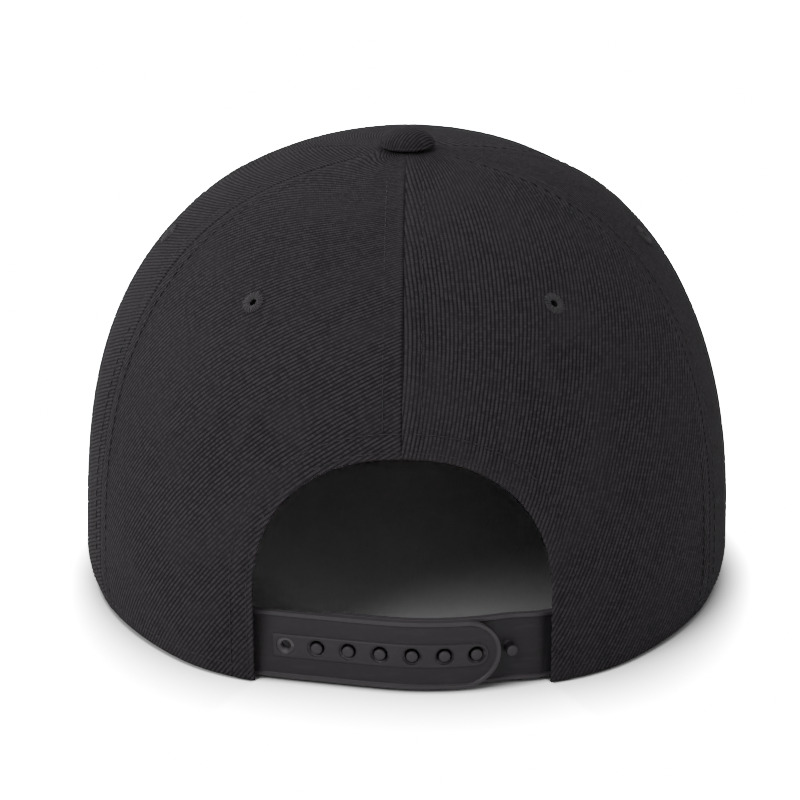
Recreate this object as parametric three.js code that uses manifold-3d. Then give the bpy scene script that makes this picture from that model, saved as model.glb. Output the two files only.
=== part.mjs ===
// A six-panel snapback cap in millimetres, +Z up. It stands on its hem on Z = 0, the peak points
// along +Y and the snap strap faces -Y. The wearer's left is -X. Polar angles are measured round
// the crown's upright axis, from 0 at the middle of the back to 180 degrees at the front.
import * as THREE from 'three';
import { mergeVertices } from 'three/addons/utils/BufferGeometryUtils.js';
import Module from 'manifold-3d';

// Crown
const crownWidth = 180;
const crownBackReach = 105.3;
const crownFrontReach = 102;
const crownHeight = 125;
const peakRise = 3.3;
const clothThickness = 2;
const seamGap = 0.3;

// Arched opening at the back
const archWidth = 78.8;
const archHeight = 69.2;
const archSpringHeight = 27;
const legPull = 3.7;
const legPullSpreadDeg = 16;

// Eyelets
const eyeletHeight = 99.5;
const eyeletDiameter = 6.2;
const eyeletBore = 2.4;
const eyeletBarrelWall = 1;
const eyeletFlangeThickness = 0.8;
const eyeletClearance = 0.3;
const eyeletCrownShare = 0.8;
const eyeletLipShare = 0.6;

// Button
const buttonDiameter = 16;
const buttonDomeHeight = 3.4;
const buttonEdgeThickness = 1.1;
const buttonShankDiameter = 3.8;
const buttonClearance = 0.3;

// Peak
const brimLength = 70;
const brimWidth = 186;
const brimThickness = 3.4;
const brimCamber = 5;
const brimLift = 0.8;
const brimShoulder = 54;
const brimCornerDepth = 46;
const brimEdgeRounding = 1.1;
const brimClearance = 0.3;
const brimEdgeTrimShare = 0.28;

// Snap strap. Reaches are lengths along the outer strap from the middle of the back.
const strapHeight = 19.5;
const strapLift = 1.2;
const strapThickness = 1.5;
const strapRelief = 0.5;
const strapRimWidth = 1.2;
const strapClearance = 0.4;
const strapFlattening = 4.55;
const strapSkew = 1.4;
const strapTuck = 12;
const strapTipReach = 26.4;
const hiddenTipReach = 32;
const easeClearance = 2;
const pillHeight = 6.8;
const holeCount = 7;
const holePitch = 8.55;
const firstHoleReach = 31.65;
const pegDiameter = 2.7;
const pegClearance = 0.25;
const pegProtrusion = 0.8;
const pegEdgeShare = 0.4;
const recessDiameter = 4.6;
const recessDepth = 0.8;

// How the crown swells towards its back, side and front. planPower rounds its outline seen from
// above, domePower its outline seen from the side. widestShare is the height of its widest level
// as a share of crownHeight, and tuckShare how far the hem draws in below that level, as a share
// of half of crownWidth.
const swells = {
  back: { planPower: 1.85, domePower: 2.55, widestShare: 0.326, tuckShare: 0.035 },
  side: { planPower: 1.88, domePower: 2.58, widestShare: 0.087, tuckShare: 0.035 },
  front: { planPower: 1.9, domePower: 2.46, widestShare: 0.432, tuckShare: 0.022 },
};
const peakPower = 6;
const archPower = 2.2;
const brimPower = 2.3;

// The three panels of one side, from the seam that starts each to the seam that ends it.
const panels = [
  { name: 'back', startDeg: 0, endDeg: 67.8, eyeletDeg: 31.5, columns: 12 },
  { name: 'side', startDeg: 67.8, endDeg: 118, eyeletDeg: 88, columns: 9 },
  { name: 'front', startDeg: 118, endDeg: 180, eyeletDeg: 149, columns: 11 },
];
const sides = [
  { name: 'left', sign: -1 },
  { name: 'right', sign: 1 },
];

// Mesh fineness
const hemRows = 3;
const domeRows = 14;
const eyeletSegments = 12;
const buttonSegments = 20;
const brimColumns = 40;
const strapStep = 4;
const strapRows = 2;
const tipSteps = 5;
const pegSegments = 10;
const archSegments = 24;
const domeSteps = 6;
const brimInsets = [0, 0.12, 0.32, 0.55, 0.8, 1];
const slopeStep = 1e-3;
const reachStepDeg = 0.25;
const cutMargin = 2;

const cloth = new THREE.MeshStandardMaterial({ color: 0x2e2c2e, roughness: 0.95, metalness: 0 });
const thread = new THREE.MeshStandardMaterial({ color: 0x3c3a3c, roughness: 0.85, metalness: 0 });
const plastic = new THREE.MeshStandardMaterial({ color: 0x3e3b3e, roughness: 0.45, metalness: 0 });

const wasm = await Module();
wasm.setup();

const radians = THREE.MathUtils.degToRad;
const lerp = THREE.MathUtils.lerp;
const smoothstep = THREE.MathUtils.smoothstep;
const clamp = THREE.MathUtils.clamp;

// The closed mesh of a geometry as a solid that can be joined and cut.
function solidOf(geometry) {
  const bare = geometry.clone();
  bare.deleteAttribute('normal');
  bare.deleteAttribute('uv');
  const merged = mergeVertices(bare, 1e-5);
  const vertProperties = new Float32Array(merged.attributes.position.array);
  const triVerts = new Uint32Array(merged.index.array);
  return new wasm.Manifold(new wasm.Mesh({ numProp: 3, vertProperties, triVerts }));
}

// The geometry of a solid after its joins and cuts.
function geometryOf(solid) {
  const mesh = solid.getMesh();
  const geometry = new THREE.BufferGeometry();
  geometry.setAttribute('position', new THREE.BufferAttribute(mesh.vertProperties, 3));
  geometry.setIndex(new THREE.BufferAttribute(mesh.triVerts, 1));
  geometry.computeVertexNormals();
  return geometry;
}

// Six times the signed volume that a triangle list encloses. It is negative if it is inside out.
function signedVolume(points, triangles) {
  let volume = 0;
  for (const [a, b, c] of triangles) {
    volume += points[a].dot(new THREE.Vector3().crossVectors(points[b], points[c]));
  }
  return volume;
}

// A closed sheet between two faces. outer and inner give the point of each face for column i and
// row j, and the sheet is closed all round its border.
function sheet(columns, rows, outer, inner) {
  const points = [];
  for (const face of [outer, inner]) {
    for (let i = 0; i <= columns; i += 1) {
      for (let j = 0; j <= rows; j += 1) points.push(face(i, j));
    }
  }
  const side = (columns + 1) * (rows + 1);
  const at = (i, j) => i * (rows + 1) + j;
  const triangles = [];
  const quad = (a, b, c, d) => triangles.push([a, b, c], [a, c, d]);
  for (let i = 0; i < columns; i += 1) {
    for (let j = 0; j < rows; j += 1) {
      quad(at(i, j), at(i + 1, j), at(i + 1, j + 1), at(i, j + 1));
      quad(side + at(i, j), side + at(i, j + 1), side + at(i + 1, j + 1), side + at(i + 1, j));
    }
    quad(at(i, 0), side + at(i, 0), side + at(i + 1, 0), at(i + 1, 0));
    quad(at(i, rows), at(i + 1, rows), side + at(i + 1, rows), side + at(i, rows));
  }
  for (let j = 0; j < rows; j += 1) {
    quad(at(0, j), at(0, j + 1), side + at(0, j + 1), side + at(0, j));
    quad(at(columns, j), side + at(columns, j), side + at(columns, j + 1), at(columns, j + 1));
  }
  if (signedVolume(points, triangles) < 0) triangles.forEach((triangle) => triangle.reverse());
  const geometry = new THREE.BufferGeometry().setFromPoints(points);
  geometry.setIndex(triangles.flat());
  geometry.computeVertexNormals();
  return geometry;
}

// The crown's radius, dome power, widest height and hem tuck in the direction of a polar angle.
function crownDirection(angle) {
  const alongY = Math.cos(angle);
  const facing = alongY > 0 ? swells.back : swells.front;
  const reach = alongY > 0 ? crownBackReach : crownFrontReach;
  const share = alongY * alongY;
  const acrossTerm = Math.abs(Math.sin(angle) / (crownWidth / 2)) ** facing.planPower;
  const alongTerm = Math.abs(alongY / reach) ** facing.planPower;
  return {
    radius: (acrossTerm + alongTerm) ** (-1 / facing.planPower),
    domePower: lerp(swells.side.domePower, facing.domePower, share),
    widest: crownHeight * lerp(swells.side.widestShare, facing.widestShare, share),
    tuck: (crownWidth / 2) * lerp(swells.side.tuckShare, facing.tuckShare, share),
  };
}

// The height of the low peak under the button, at a share of the way out to the widest level.
function peakAt(outShare) {
  return peakRise * (1 - outShare) ** peakPower;
}

// A point at a polar angle, radius and height.
function polarPoint(angle, radius, height) {
  return new THREE.Vector3(radius * Math.sin(angle), -radius * Math.cos(angle), height);
}

// The crown's outer face. climb is 0 at the hem, 1 at the widest level and 2 at the button shank.
function crownPoint(angle, climb) {
  const { radius, domePower, widest, tuck } = crownDirection(angle);
  if (climb <= 1) return polarPoint(angle, radius - tuck * (1 - climb) ** 2, widest * climb);
  const shankRadius = buttonShankDiameter / 2 + buttonClearance;
  const lastElevation = Math.acos((shankRadius / radius) ** (domePower / 2));
  const elevation = (climb - 1) * lastElevation;
  const outShare = Math.cos(elevation) ** (2 / domePower);
  const riseShare = Math.sin(elevation) ** (2 / domePower);
  const dome = widest + (crownHeight - peakRise - widest) * riseShare;
  return polarPoint(angle, radius * outShare, dome + peakAt(outShare));
}

// The crown's outward normal at a polar angle and climb.
function crownNormal(angle, climb) {
  const low = Math.max(climb - slopeStep, 0);
  const high = Math.min(climb + slopeStep, 2);
  const up = crownPoint(angle, high).sub(crownPoint(angle, low));
  const round = crownPoint(angle + slopeStep, climb).sub(crownPoint(angle - slopeStep, climb));
  return round.cross(up).normalize();
}

// The climb at which the crown's outer face reaches a height.
function climbAtHeight(angle, height) {
  let low = 0;
  let high = 2;
  for (let step = 0; step < 40; step += 1) {
    const middle = (low + high) / 2;
    if (crownPoint(angle, middle).z < height) low = middle;
    else high = middle;
  }
  return (low + high) / 2;
}

// The polar angle at which the hem meets the arch's leg, after the strap has pulled it in.
function findLegAngle() {
  let angle = 0;
  while ((crownPoint(angle, 0).length() - legPull) * Math.sin(angle) < archWidth / 2) {
    angle += slopeStep;
  }
  return angle;
}
const legAngle = findLegAngle();

// How far the closed strap pulls the cloth in beside the arch, before it fades up the legs.
function legPullAt(angle) {
  const away = (Math.abs(angle) - legAngle) / radians(legPullSpreadDeg);
  return legPull * clamp(1 - away, 0, 1) ** 2;
}

// The share of the pull that is left at a climb: all of it at the hem, none at the widest level.
function pullShare(climb) {
  return 1 - Math.min(climb, 1);
}

// A point at a depth under the crown's outer face.
function underCrown(angle, climb, depth) {
  return crownPoint(angle, climb).addScaledVector(crownNormal(angle, climb), -depth);
}

// A point of a panel at a depth under its outer face, drawn in beside the arch. On the hem it
// stays at the hem's level, and round the button's shank it stays straight under the face.
function panelPoint(angle, climb, depth) {
  const point = underCrown(angle, climb, depth);
  const face = crownPoint(angle, climb);
  if (climb === 2) point.set(face.x, face.y, point.z);
  point.addScaledVector(polarPoint(angle, 1, 0), -legPullAt(angle) * pullShare(climb));
  if (climb === 0) point.z = 0;
  return point;
}

// The arch that is cut out of the back, as a bar along Y that starts inside the crown.
function archCutter() {
  const rise = archHeight - archSpringHeight;
  const outline = new THREE.Shape();
  outline.moveTo(archWidth / 2, -cutMargin);
  for (let step = 0; step <= archSegments; step += 1) {
    const turn = (Math.PI * step) / archSegments;
    const across = Math.sign(Math.cos(turn)) * Math.abs(Math.cos(turn)) ** (2 / archPower);
    const up = Math.sin(turn) ** (2 / archPower);
    outline.lineTo((archWidth / 2) * across, archSpringHeight + rise * up);
  }
  outline.lineTo(-archWidth / 2, -cutMargin);
  const bar = new THREE.ExtrudeGeometry(outline, {
    depth: crownBackReach + cutMargin,
    bevelEnabled: false,
  });
  return solidOf(bar.rotateX(Math.PI / 2));
}

// A geometry made along +Z from the origin, moved to a point and turned to look along a direction.
function aimed(geometry, point, direction) {
  const turn = new THREE.Quaternion().setFromUnitVectors(new THREE.Vector3(0, 0, 1), direction);
  const matrix = new THREE.Matrix4().compose(point, turn, new THREE.Vector3(1, 1, 1));
  return geometry.clone().applyMatrix4(matrix);
}

// A round bar through a wall, centred on a point, with its axis along a direction.
function drill(diameter, point, direction, length) {
  const bar = new THREE.CylinderGeometry(diameter / 2, diameter / 2, length, eyeletSegments);
  return solidOf(aimed(bar.rotateX(Math.PI / 2), point, direction));
}

// The angle and climb of the eyelet of a panel on one side.
function eyeletPlace(panel, sign) {
  const angle = sign * radians(panel.eyeletDeg);
  const climb = climbAtHeight(angle, eyeletHeight);
  return { point: crownPoint(angle, climb), normal: crownNormal(angle, climb) };
}

// One crown panel: a cloth wall between two upright seam planes, with its eyelet hole.
function panelSolid(panel, sign) {
  const rows = hemRows + domeRows;
  const climbOf = (j) => (j <= hemRows ? j / hemRows : 1 + (j - hemRows) / domeRows);
  const angleOf = (i, climb) => {
    const start = radians(panel.startDeg);
    const end = radians(panel.endDeg);
    const startRadius = Math.hypot(crownPoint(start, climb).x, crownPoint(start, climb).y);
    const endRadius = Math.hypot(crownPoint(end, climb).x, crownPoint(end, climb).y);
    const first = start + Math.asin(seamGap / 2 / startRadius);
    const last = end - Math.asin(seamGap / 2 / endRadius);
    return sign * lerp(first, last, i / panel.columns);
  };
  const face = (depth) => (i, j) => panelPoint(angleOf(i, climbOf(j)), climbOf(j), depth);
  const wall = solidOf(sheet(panel.columns, rows, face(0), face(clothThickness)));
  const { point, normal } = eyeletPlace(panel, sign);
  const seatDiameter = eyeletBore + 2 * (eyeletBarrelWall + eyeletClearance);
  return wall.subtract(drill(seatDiameter, point, normal, 2 * (clothThickness + cutMargin)));
}

// The ring of an eyelet about +Z, with the cloth's outer face at Z = 0.
function eyeletGeometry() {
  const bore = eyeletBore / 2;
  const barrel = bore + eyeletBarrelWall;
  const flange = eyeletDiameter / 2;
  const under = eyeletClearance;
  const top = under + eyeletFlangeThickness;
  const bottom = -clothThickness - eyeletClearance;
  const profile = [
    [bore, bottom],
    [barrel, bottom],
    [barrel, under],
    [flange, under],
    [lerp(barrel, flange, eyeletCrownShare), lerp(under, top, eyeletCrownShare)],
    [barrel, top],
    [bore, lerp(under, top, eyeletLipShare)],
    [bore, bottom],
  ];
  const outline = profile.map(([x, y]) => new THREE.Vector2(x, y));
  return new THREE.LatheGeometry(outline, eyeletSegments).rotateX(Math.PI / 2);
}

// The cloth button with its shank. Its underside follows the crown's low peak.
function buttonGeometry() {
  const shank = buttonShankDiameter / 2;
  const edge = buttonDiameter / 2;
  const reach = Math.max(crownBackReach, crownFrontReach);
  const seat = (radius) => crownHeight - peakRise + peakAt(radius / reach) + buttonClearance;
  const shankTop = shank + buttonClearance;
  const bottom = crownHeight - clothThickness - 2 * buttonClearance;
  const profile = [
    [0, bottom],
    [shank, bottom],
    [shank, seat(shankTop)],
    [edge / 2, seat(edge / 2)],
    [edge, seat(edge)],
    [edge, seat(edge) + buttonEdgeThickness],
  ];
  for (let step = 1; step <= domeSteps; step += 1) {
    const turn = (Math.PI * step) / (2 * domeSteps);
    const rise = buttonEdgeThickness + buttonDomeHeight * Math.sin(turn);
    profile.push([step === domeSteps ? 0 : edge * Math.cos(turn), seat(edge) + rise]);
  }
  const outline = profile.map(([x, y]) => new THREE.Vector2(x, y));
  return new THREE.LatheGeometry(outline, buttonSegments).rotateX(Math.PI / 2);
}

// The peak: a flat board with rounded corners whose root follows the crown's front.
function brimGeometry() {
  const half = brimWidth / 2;
  const forward = crownFrontReach + brimLength - brimShoulder;
  const outlinePoint = (turn) => {
    const depth = Math.cos(turn) > 0 ? forward : brimCornerDepth;
    const across = Math.sign(Math.sin(turn)) * Math.abs(Math.sin(turn)) ** (2 / brimPower);
    const along = Math.sign(Math.cos(turn)) * Math.abs(Math.cos(turn)) ** (2 / brimPower);
    return new THREE.Vector2(half * across, brimShoulder + depth * along);
  };
  const crownRadius = (angle, height) => {
    const point = crownPoint(angle, climbAtHeight(angle, height));
    return Math.hypot(point.x, point.y);
  };
  // The outline is followed back on each side until it meets the crown.
  let lastTurn = Math.PI / 2;
  const clearOfCrown = (turn) => {
    const point = outlinePoint(turn);
    const angle = Math.atan2(point.x, -point.y);
    return point.length() - crownDirection(angle).radius > brimClearance + brimEdgeRounding;
  };
  while (clearOfCrown(lastTurn + slopeStep) && lastTurn < Math.PI) lastTurn += slopeStep;
  const end = outlinePoint(lastTurn);
  const rootHalfAngle = Math.PI - Math.atan2(end.x, -end.y);
  const undersideAt = (x) => brimLift + brimCamber * (1 - (x / half) ** 2);
  const rows = brimInsets.length;
  const point = (i, j, top) => {
    const side = (2 * i) / brimColumns - 1;
    const edge = outlinePoint(side * lastTurn);
    const angle = Math.PI - side * rootHalfAngle;
    const rough = polarPoint(angle, crownDirection(angle).radius, 0);
    const height = undersideAt(rough.x) + (top ? brimThickness : 0);
    const radius = crownRadius(angle, height) + brimClearance;
    const root = polarPoint(angle, radius, 0);
    const inward = new THREE.Vector2(root.x, root.y).sub(edge);
    const width = inward.length();
    const rounding = Math.min(brimEdgeRounding, width / 3);
    inward.normalize();
    const fromEdge = j === 0 ? 0 : lerp(rounding, width, brimInsets[j - 1]);
    const place = edge.clone().addScaledVector(inward, fromEdge);
    const trim = j === 0 ? brimThickness * brimEdgeTrimShare : 0;
    const level = undersideAt(place.x) + (top ? brimThickness - trim : trim);
    return new THREE.Vector3(place.x, place.y, level);
  };
  return sheet(brimColumns, rows, (i, j) => point(i, j, true), (i, j) => point(i, j, false));
}

// Depths of the strap faces under the face that the straps follow. The outer strap lies just
// inside the cloth and the inner strap just inside the outer one.
const outerRim = clothThickness + strapClearance;
const outerPlate = outerRim + strapRelief;
const outerBack = outerPlate + strapThickness;
const layerStep = strapRelief + strapThickness + strapClearance;
const strapMiddle = strapLift + strapHeight / 2;

// How far the straps lie inside the crown's own form. Under the cloth they follow its pull, and
// between the legs they run flatter than the crown, a little more so towards the wearer's left.
function strapInset(angle) {
  const share = clamp(angle / legAngle, -1, 1);
  const follow = legPullAt(angle) * pullShare(climbAtHeight(angle, strapLift));
  return follow + strapFlattening * (1 - share * share) - strapSkew * Math.sin(Math.PI * share);
}

// A point of a strap at a polar angle, a height and a depth.
function strapPoint(angle, height, depth) {
  const point = underCrown(angle, climbAtHeight(angle, height), depth + strapInset(angle));
  point.z = height;
  return point;
}

// The polar angle at a reach along the outer strap's face.
function angleAtReach(reach) {
  let angle = 0;
  let travelled = 0;
  const step = Math.sign(reach) * radians(reachStepDeg);
  const place = (at) => strapPoint(at, strapMiddle, outerPlate);
  while (travelled < Math.abs(reach)) {
    const length = place(angle).distanceTo(place(angle + step));
    const part = Math.min(1, (Math.abs(reach) - travelled) / length);
    travelled += length;
    angle += step * part;
  }
  return angle;
}

// How far the inner strap lies deeper than the outer one: a whole layer behind the outer strap,
// and none where it goes under the right panel.
function innerStrapDrop(reach) {
  return layerStep * (1 - smoothstep(reach, strapTipReach + easeClearance, archWidth / 2));
}

// A stretch of strap between two reaches, from an outer to an inner depth. A tip that is rounded
// has the radius of half the stretch's height.
function strapStretch({ from, to, height, outer, inner, roundFrom, roundTo, drop }) {
  const half = height / 2;
  const stations = [];
  const tip = (step) => half * (1 - Math.cos((Math.PI / 2) * (step / tipSteps)));
  const firstFlat = roundFrom ? from + half : from;
  const lastFlat = roundTo ? to - half : to;
  const pieces = Math.max(1, Math.ceil((lastFlat - firstFlat) / strapStep));
  if (roundFrom) for (let k = 1; k < tipSteps; k += 1) stations.push(from + tip(k));
  for (let k = 0; k <= pieces; k += 1) stations.push(lerp(firstFlat, lastFlat, k / pieces));
  if (roundTo) for (let k = tipSteps - 1; k > 0; k -= 1) stations.push(to - tip(k));
  const halfAt = (reach) => {
    const fromTip = Math.min(roundFrom ? reach - from : half, roundTo ? to - reach : half, half);
    return Math.sqrt(half * half - (half - fromTip) ** 2);
  };
  const angles = stations.map(angleAtReach);
  const face = (depth) => (i, j) => {
    const level = strapMiddle + halfAt(stations[i]) * ((2 * j) / strapRows - 1);
    return strapPoint(angles[i], level, depth + drop(stations[i]));
  };
  return solidOf(sheet(stations.length - 1, strapRows, face(outer), face(inner)));
}

// A strap with a raised rim: a thick stretch with a shallow pocket cut into its outer face.
function rimmedStrap(stretch) {
  const blank = strapStretch({ ...stretch, outer: outerRim, inner: outerBack });
  const pocket = strapStretch({
    ...stretch,
    from: stretch.from + (stretch.roundFrom ? strapRimWidth : -cutMargin),
    to: stretch.to - (stretch.roundTo ? strapRimWidth : -cutMargin),
    height: stretch.height - 2 * strapRimWidth,
    outer: outerRim - cutMargin,
    inner: outerPlate,
  });
  return blank.subtract(pocket);
}

// The middle line of a strap at a reach and a depth, straight behind the outer strap's rim, with
// the strap's own outward normal.
function strapPlace(reach, depth) {
  const angle = angleAtReach(reach);
  const face = strapPoint(angle, strapMiddle, outerRim);
  const ahead = strapPoint(angle + slopeStep, strapMiddle, outerRim);
  const above = strapPoint(angle, strapMiddle + slopeStep, outerRim);
  const normal = ahead.sub(face).cross(above.sub(face)).normalize();
  return { point: face.addScaledVector(normal, outerRim - depth), normal };
}

// Reaches of the outer strap's holes, from the empty one at the wearer's left.
const holeReaches = Array.from({ length: holeCount }, (_, k) => k * holePitch - firstHoleReach);

// The outer strap: rim, raised band round the holes, and the holes with the recess round each.
function strapLeftGeometry() {
  const none = () => 0;
  let strap = rimmedStrap({
    from: -(archWidth / 2 + strapTuck),
    to: strapTipReach,
    height: strapHeight,
    roundFrom: false,
    roundTo: true,
    drop: none,
  });
  strap = strap.add(strapStretch({
    from: holeReaches[0] - pillHeight / 2,
    to: holeReaches[holeCount - 1] + pillHeight / 2,
    height: pillHeight,
    outer: outerRim,
    inner: (outerPlate + outerBack) / 2,
    roundFrom: false,
    roundTo: true,
    drop: none,
  }));
  for (const reach of holeReaches) {
    const { point, normal } = strapPlace(reach, outerRim);
    const bore = pegDiameter + 2 * pegClearance;
    const length = 2 * (outerBack - outerRim + cutMargin);
    strap = strap.subtract(drill(bore, point, normal, length));
    strap = strap.subtract(drill(recessDiameter, point, normal, 2 * recessDepth));
  }
  return geometryOf(strap);
}

// A peg about +Z that stands on Z = 0, with a rounded head.
function pegGeometry(length) {
  const radius = pegDiameter / 2;
  const rounding = radius * pegEdgeShare;
  const profile = [
    [0, 0],
    [radius, 0],
    [radius, length - rounding],
    [radius - rounding, length - rounding / 4],
    [0, length],
  ];
  const outline = profile.map(([x, y]) => new THREE.Vector2(x, y));
  return new THREE.LatheGeometry(outline, pegSegments).rotateX(Math.PI / 2);
}

// The inner strap: rim and one row of pegs. All but the last go through the outer strap.
function strapRightGeometry() {
  let strap = rimmedStrap({
    from: -hiddenTipReach,
    to: archWidth / 2 + strapTuck,
    height: strapHeight,
    roundFrom: true,
    roundTo: false,
    drop: innerStrapDrop,
  });
  const root = (outerPlate + outerBack) / 2;
  for (const holeReach of holeReaches) {
    const reach = holeReach + holePitch;
    const { point, normal } = strapPlace(reach, root + innerStrapDrop(reach));
    const length = root + layerStep - outerRim + pegProtrusion;
    strap = strap.add(solidOf(aimed(pegGeometry(length), point, normal)));
  }
  return geometryOf(strap);
}

const cap = new THREE.Group();

// A named mesh in the cap.
function addMesh(name, geometry, material) {
  const mesh = new THREE.Mesh(geometry, material);
  mesh.name = name;
  cap.add(mesh);
  return mesh;
}

const arch = archCutter();
for (const side of sides) {
  for (const panel of panels) {
    const wall = panelSolid(panel, side.sign);
    const cut = panel.name === 'back' ? wall.subtract(arch) : wall;
    addMesh(`${panel.name}_panel_${side.name}`, geometryOf(cut), cloth);
    const { point, normal } = eyeletPlace(panel, side.sign);
    const eyelet = addMesh(`eyelet_${panel.name}_${side.name}`, eyeletGeometry(), thread);
    eyelet.position.copy(point);
    eyelet.quaternion.setFromUnitVectors(new THREE.Vector3(0, 0, 1), normal);
  }
}
addMesh('top_button', buttonGeometry(), cloth);
addMesh('brim', brimGeometry(), cloth);
addMesh('strap_left', strapLeftGeometry(), plastic);
addMesh('strap_right', strapRightGeometry(), plastic);

// The origin is the middle of the cap's footprint.
const footprint = new THREE.Box3().setFromObject(cap);
cap.position.y = -(footprint.min.y + footprint.max.y) / 2;

export default cap;
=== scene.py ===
"""A black twill snapback cap seen from behind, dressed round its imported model.

The crown, peak, straps, eyelets and button are surfaces worked out with numpy from the same sizes
as the part's solids. All lengths are in metres, +Z is up, the peak points along +Y and the snap
strap faces -Y. Polar angles run round the crown's upright axis from 0 at the middle of the back.
"""

import logging
import math
from dataclasses import dataclass, field
from enum import Enum
from functools import cached_property
from typing import Callable, Sequence

import bpy
import numpy as np
from mathutils import Matrix, Vector


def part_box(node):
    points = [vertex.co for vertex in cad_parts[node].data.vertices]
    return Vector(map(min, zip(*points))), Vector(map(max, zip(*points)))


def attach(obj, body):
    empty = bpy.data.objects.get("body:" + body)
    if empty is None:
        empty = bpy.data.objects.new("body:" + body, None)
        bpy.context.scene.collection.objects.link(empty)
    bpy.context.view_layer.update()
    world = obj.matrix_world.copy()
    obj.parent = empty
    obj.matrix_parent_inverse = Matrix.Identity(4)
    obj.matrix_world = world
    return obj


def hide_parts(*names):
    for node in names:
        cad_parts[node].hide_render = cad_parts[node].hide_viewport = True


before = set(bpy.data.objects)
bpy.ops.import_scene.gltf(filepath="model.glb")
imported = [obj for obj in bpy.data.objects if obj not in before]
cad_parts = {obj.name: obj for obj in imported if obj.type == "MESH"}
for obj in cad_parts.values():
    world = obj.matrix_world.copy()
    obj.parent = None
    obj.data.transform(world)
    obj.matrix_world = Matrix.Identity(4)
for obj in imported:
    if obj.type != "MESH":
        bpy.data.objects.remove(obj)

log = logging.getLogger("snapback_cap")
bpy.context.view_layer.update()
PHOTO_WIDTH_PX = 800
MM = 0.001


def to_linear(hex_colour: str) -> tuple[float, float, float, float]:
    """Turns an sRGB hex colour such as 2e2c2e into linear red, green, blue and alpha."""
    channels = [int(hex_colour[i : i + 2], 16) / 255 for i in (0, 2, 4)]
    linear = [c / 12.92 if c <= 0.04045 else ((c + 0.055) / 1.055) ** 2.4 for c in channels]
    return (linear[0], linear[1], linear[2], 1.0)


def smooth(value: np.ndarray, start: float, end: float) -> np.ndarray:
    """Rises from 0 at start to 1 at end with a level slope at both, by 3t^2 - 2t^3."""
    share = np.clip((value - start) / (end - start), 0, 1)
    return share * share * (3 - 2 * share)


def unit(vectors: np.ndarray) -> np.ndarray:
    """Scales each vector along the last axis to length 1."""
    return vectors / np.maximum(np.linalg.norm(vectors, axis=-1, keepdims=True), 1e-12)


def bell(value: np.ndarray, centre: float, width: float) -> np.ndarray:
    """Gives exp(-((value - centre) / width)^2), which is 1 at the centre."""
    return np.exp(-(((value - centre) / width) ** 2))


def signed_power(value: np.ndarray, power: float) -> np.ndarray:
    """Raises the size of each value to a power and keeps its sign."""
    return np.sign(value) * np.abs(value) ** power


def rounded(gap: np.ndarray, radius: float) -> np.ndarray:
    """Gives how far an edge falls away at a distance from its end, by a quarter circle."""
    short = np.clip(radius - gap, 0, None)
    return radius - np.sqrt(np.maximum(radius**2 - short**2, 0))


@dataclass(frozen=True)
class Swell:
    """How the crown swells in one direction.

    plan_power rounds the outline seen from above and dome_power the one seen from the side.
    widest_share is the height of the widest level as a share of the crown's height, and
    tuck_share how far the hem draws in below it, as a share of half the crown's width.
    """

    plan_power: float
    dome_power: float
    widest_share: float
    tuck_share: float


class Facing(Enum):
    """The three directions in which the crown's form is given."""

    BACK = Swell(1.85, 2.55, 0.326, 0.035)
    SIDE = Swell(1.88, 2.58, 0.087, 0.035)
    FRONT = Swell(1.9, 2.46, 0.432, 0.022)


class Side(Enum):
    """The wearer's left and right, as a sign along X."""

    LEFT = -1
    RIGHT = 1

    @property
    def word(self) -> str:
        """The side's name as the nodes spell it."""
        return self.name.lower()


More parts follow.
